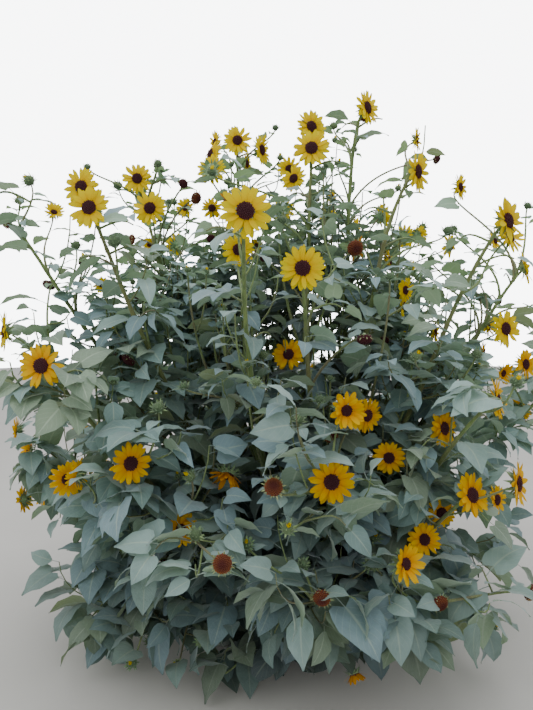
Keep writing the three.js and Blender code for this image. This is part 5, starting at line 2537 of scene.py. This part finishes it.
    def add_spent(self, head: Head, pose: Pose) -> None:
        """Adds a spent head: a high dark cone of seeds in a ring of short bracts, some with a last limp ray.

        Args:
            head: the head.
            pose: how it is held.
        """
        rng = self.rng
        dark = head.across < 50.0 or head.nod < -45.0
        stores = (HeadPiece.SPENT_CONES, HeadPiece.SPENT_FLORETS)
        if dark:
            stores = (HeadPiece.DARK_CONES, HeadPiece.DARK_FLORETS)
        size = self.cone * pose.radius
        self.dome(pose, -0.08, size, self.cone_rise, self.cone_florets, stores, 0.3)
        self.cup(pose, 0.8, HeadPiece.PALE_BRACTS, (42.0, 8.0), 0.55)
        if dark or head.nod >= -18.0:
            return
        for _ in range(int(rng.integers(0, 4))):
            out = pose.out(rng.uniform(0.0, 360.0))
            along = (out - pose.facing * 0.6 - UP * 0.3).normalized()
            ray = (head.at + out * size, along, pose.facing, 0.7 * pose.radius, int(rng.integers(0, 5)), 1.0)
            self.stores[HeadPiece.RAYS_FADED].add(*ray)

    def add_bud(self, head: Head, pose: Pose) -> None:
        """Adds a bud: a closed green heart in three whorls of bracts, some with yellow at the tip.

        Args:
            head: the head; not used.
            pose: how it is held.
        """
        rng = self.rng
        heart = pose.point(pose.right, 0.0, -0.5)
        size = 0.82 * pose.radius
        self.stores[HeadPiece.BUD_CORES].add(heart, pose.right, pose.facing, size, 0, rng.uniform())
        opening = rng.uniform() < self.opening_buds
        rings = (
            Whorl(10, 0.62, -0.5, 8.0, 0.75, 0.85, 6.0, 9.0, inward=True),
            Whorl(10, 0.66, -0.3, 42.0, 0.95, 0.85, 6.0, 9.0, inward=True),
            Whorl(8, 0.5, -0.1, 66.0, 0.95, 0.85, 6.0, 9.0, inward=True),
        )
        for number, ring in enumerate(rings):
            self.whorl(pose, ring, 0.5 * number, HeadPiece.BRACTS)
        for i in range(9 if opening else 0):
            out = pose.out(40.0 * i + rng.normal(0.0, 6.0))
            along = pose.facing + out * rng.uniform(-0.1, 0.25)
            size = pose.radius * rng.uniform(0.85, 1.1)
            foot = pose.point(out, 0.16, 0.0)
            self.stores[HeadPiece.RAYS_UPPER].add(foot, along, -out, size, int(rng.integers(0, 5)), 0.3)

    @staticmethod
    def shapes() -> dict[str, list[Object]]:
        """The shapes that heads are made of, with their variants.

        Returns:
            The shapes by name.
        """
        rays = (
            RayShape("plain_ray", 0.205, 4.0),
            RayShape("notched_ray", 0.22, -4.0, notch=0.08),
            RayShape("slim_ray", 0.165, 10.0, twist=10.0),
            RayShape("arched_ray", 0.2, -12.0, twist=-8.0),
            RayShape("lifted_ray", 0.185, 14.0, notch=0.05),
        )
        dome = ((1.0, -0.1), (0.98, 0.06), (0.82, 0.17), (0.55, 0.25), (0.25, 0.29), (0.01, 0.3))
        cone = ((0.92, -0.25), (1.0, 0.0), (0.93, 0.27), (0.7, 0.51), (0.38, 0.66), (0.01, 0.72))
        cup = ((0.14, -0.82), (0.3, -0.6), (0.78, -0.42), (1.0, -0.14), (0.96, 0.02), (0.4, 0.05))
        core = ((0.16, -0.55), (0.5, -0.3), (0.98, 0.1), (1.0, 0.5), (0.78, 0.95), (0.3, 1.25), (0.01, 1.3))
        return {
            "ray": [ray.make() for ray in rays],
            "dome": [lathe_object("disc", dome, 16)],
            "cone": [lathe_object("cone", cone, 16)],
            "floret": [lathe_object("floret", ((0.52, -0.25), (0.48, 0.25), (0.05, 0.62)), 4)],
            "cup": [lathe_object("cup", cup, 14)],
            "core": [lathe_object("bud_core", core, 12)],
            "bract": [BractShape("bract", 0.17, 20.0).make(), BractShape("bract_bent", 0.14, -24.0).make()],
        }

    def pieces(self, tree: ScatterTree, finishes: dict[str, Material], shoots: Sequence[str]) -> None:
        """Makes the pieces of all the heads.

        Args:
            tree: the tree that copies shapes to their places.
            finishes: the materials by name.
            shoots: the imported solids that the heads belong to.
        """
        shapes = self.shapes()
        for part, places in self.stores.items():
            shape, finish, slot = part.value
            declare(tree.piece(part.name.lower(), places, shapes[shape], finishes[finish]), slot, shoots)


@dataclass
class Studio:
    """The plain pale floor, the soft light and the camera of the photo. Metres and degrees."""

    floor_radius: float = 14.0
    floor_sides: int = 48
    camera_at: Spot = (-0.150, -2.350, 1.350)
    camera_pitch: float = 86.0
    lens: float = 27.2
    sensor: float = 36.0
    sky: float = 1.0
    backdrop: float = 8.0
    sky_colour: Colour = (0.97, 0.985, 1.0)

    def build(self) -> None:
        """Builds the camera, the lights and the floor."""
        camera = bpy.data.cameras.new("camera")
        camera.sensor_fit = "VERTICAL"
        camera.sensor_height = self.sensor
        camera.lens = self.lens
        eye = placed("camera", camera)
        eye.location = self.camera_at
        eye.rotation_euler = (math.radians(self.camera_pitch), 0.0, 0.0)
        bpy.context.scene.camera = eye
        world = bpy.data.worlds.new("studio")
        world.use_nodes = True
        nodes = Nodes(world.node_tree)
        light = world.node_tree.nodes["Background"]
        nodes.put(light.inputs[0], self.sky_colour)
        shown = nodes.add("ShaderNodeLightPath").outputs["Is Camera Ray"]
        nodes.put(light.inputs[1], nodes.scaled(shown, 0.0, 1.0, self.sky, self.backdrop))
        bpy.context.scene.world = world
        self.soft_light("overhead_light", (0.0, -0.6, 5.2), (0.0, 0.0, 0.8), 4.5, 120.0)
        self.soft_light("left_light", (-3.6, -2.8, 3.4), (0.0, 0.0, 1.0), 3.0, 25.0)
        self.floor()

    def soft_light(self, name: str, at: Spot, to: Spot, size: float, power: float) -> None:
        """Adds a square soft light that points at a place.

        Args:
            name: the light's name.
            at: where it is.
            to: the place that it points at.
            size: the length of its sides.
            power: its power in watts.
        """
        lamp = bpy.data.lights.new(name, "AREA")
        lamp.size = size
        lamp.energy = power
        light = placed(name, lamp)
        light.location = at
        light.rotation_euler = (Vector(to) - Vector(at)).to_track_quat("-Z", "Y").to_euler()

    def floor(self) -> None:
        """Adds the floor, level with the flat cut under the foot."""
        radii = (self.floor_radius, self.floor_radius / 3.0, 0.01)
        floor = lathe_object("floor", [(radius, 0.0) for radius in radii], self.floor_sides)
        floor.data.materials.append(FloorFinish().make())
        bpy.context.scene.collection.objects.link(floor)
        floor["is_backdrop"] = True


def make_finishes() -> dict[str, Material]:
    """The materials of the plant.

    Returns:
        The materials by a short name.
    """
    finishes = {
        "foot": HairyFinish("woody_fibre", "9c8a5c", "6d5c3c", "574330", 0.1, 70.0, 0.05, 0.004),
        "stem": HairyFinish("ribbed_green_stem", "7a8d50", "5a6e40", "746f48"),
        "twig": HairyFinish("slim_green_twig", "7f9258", "5d7246", "70644e", grain=140.0),
        "bract": HairyFinish("hairy_bract", "7d9c70", "55744f", "9ab078", 1.0, 160.0, 0.4),
        "bud_heart": HairyFinish("bud_heart", "4c6444", "3b5036", "5c7048", 1.0, 200.0),
        "pale_bract": HairyFinish("pale_bract", "a9b886", "8a9c68", "b0b078", 1.0, 160.0, 0.4),
        "rays_upper": RayFinish("lemon_rays", "ead800", "eabc00", "dea600"),
        "rays_lower": RayFinish("golden_rays", "eec600", "ea9c00", "d48c00"),
        "rays_faded": RayFinish("faded_rays", "e0a010", "c88212", "a8702a", clearness=0.2),
        "disc": FloretFinish("dark_florets", "350c14", "4e1a14", "642c34"),
        "cone": FloretFinish("rusty_florets", "4e1a12", "905418", "6e3a1e"),
        # Each leaf's above colour is partly a painted sky reflection, its below colour partly painted light
        # through it; leaf_shade is a darker copy, a painted shade.
        "leaf_shade": LeafFinish("leaf_shade", "42565a", "4a5e52", "394c52"),
        "leaf_grey": LeafFinish("leaf_grey", "6b8584", "6e8870", "5b7574"),
        "leaf_blue": LeafFinish("leaf_blue", "6e8890", "6e8674", "5f7780"),
        "leaf_pale": LeafFinish("leaf_pale", "829a98", "88a084", "6f8886"),
        "leaf_olive": LeafFinish("leaf_olive", "748673", "76845c", "657868"),
        "leaf_fresh": LeafFinish("leaf_fresh", "7c9884", "82a074", "6a8870", clearness=0.25),
    }
    return {name: finish.make() for name, finish in finishes.items()}


def main() -> None:
    """Builds the plant piece by piece."""
    logging.basicConfig(level=logging.INFO, format="%(message)s")
    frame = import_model()
    packed_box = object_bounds()
    Studio().build()
    rule = GrowthRule()
    stems = rule.grow(frame["nodes"])
    rule.add_small_heads(stems, small_heads())
    shoots = [f"shoot_{stem.name}" for stem in stems]
    log.info("%d twigs, %d leaf places", sum(len(s.twigs) for s in stems), sum(len(s.places) for s in stems))
    finishes = make_finishes()
    declare(Foot().build(finishes["foot"]), "woody_foot", ["foot"])

    limbs = Limbs(rule)
    rng = np.random.default_rng(limbs.seed)
    heads = [stem.heads[0] for stem in stems] + [twig.head for stem in stems for twig in stem.twigs]
    for stem in stems:
        limbs.add_stem(stem, rule.node_shares(stem), rng)
        for twig in stem.twigs:
            limbs.add_twig(twig.path, twig.head, limbs.twig_radius, limbs.twig_tip, rng)
    foliage = Foliage(rule, limbs, HeadClearance(heads), packed_box)
    foliage.grow(stems)
    tree = LimbTree()
    bare = [f"stem_{stem.name}" for stem in stems]
    declare(tree.piece("stems", limbs.stems, 7, 0.1, finishes["stem"]), "green_stem", bare + shoots)
    declare(tree.piece("twigs", limbs.twigs, 3, 0.0, finishes["twig"]), "green_stem", shoots)
    declare(tree.piece("fine_twigs", limbs.fine_twigs, 2, 0.0, finishes["twig"]), "green_stem", shoots)

    scatter = ScatterTree()
    shapes = Foliage.shapes()
    for tint, places in foliage.places.items():
        name = tint.name.lower()
        declare(scatter.piece(f"leaves_{name}", places, shapes, finishes[f"leaf_{name}"]), "foliage", shoots)
    count = sum(len(places.points) for places in foliage.places.values())
    log.info("%d leaves, %d found no room", count, foliage.dropped)

    flowers = FlowerHeads()
    for head in heads + foliage.buds:
        flowers.add(head)
    flowers.pieces(scatter, finishes, shoots)


if __name__ == "__main__":
    main()
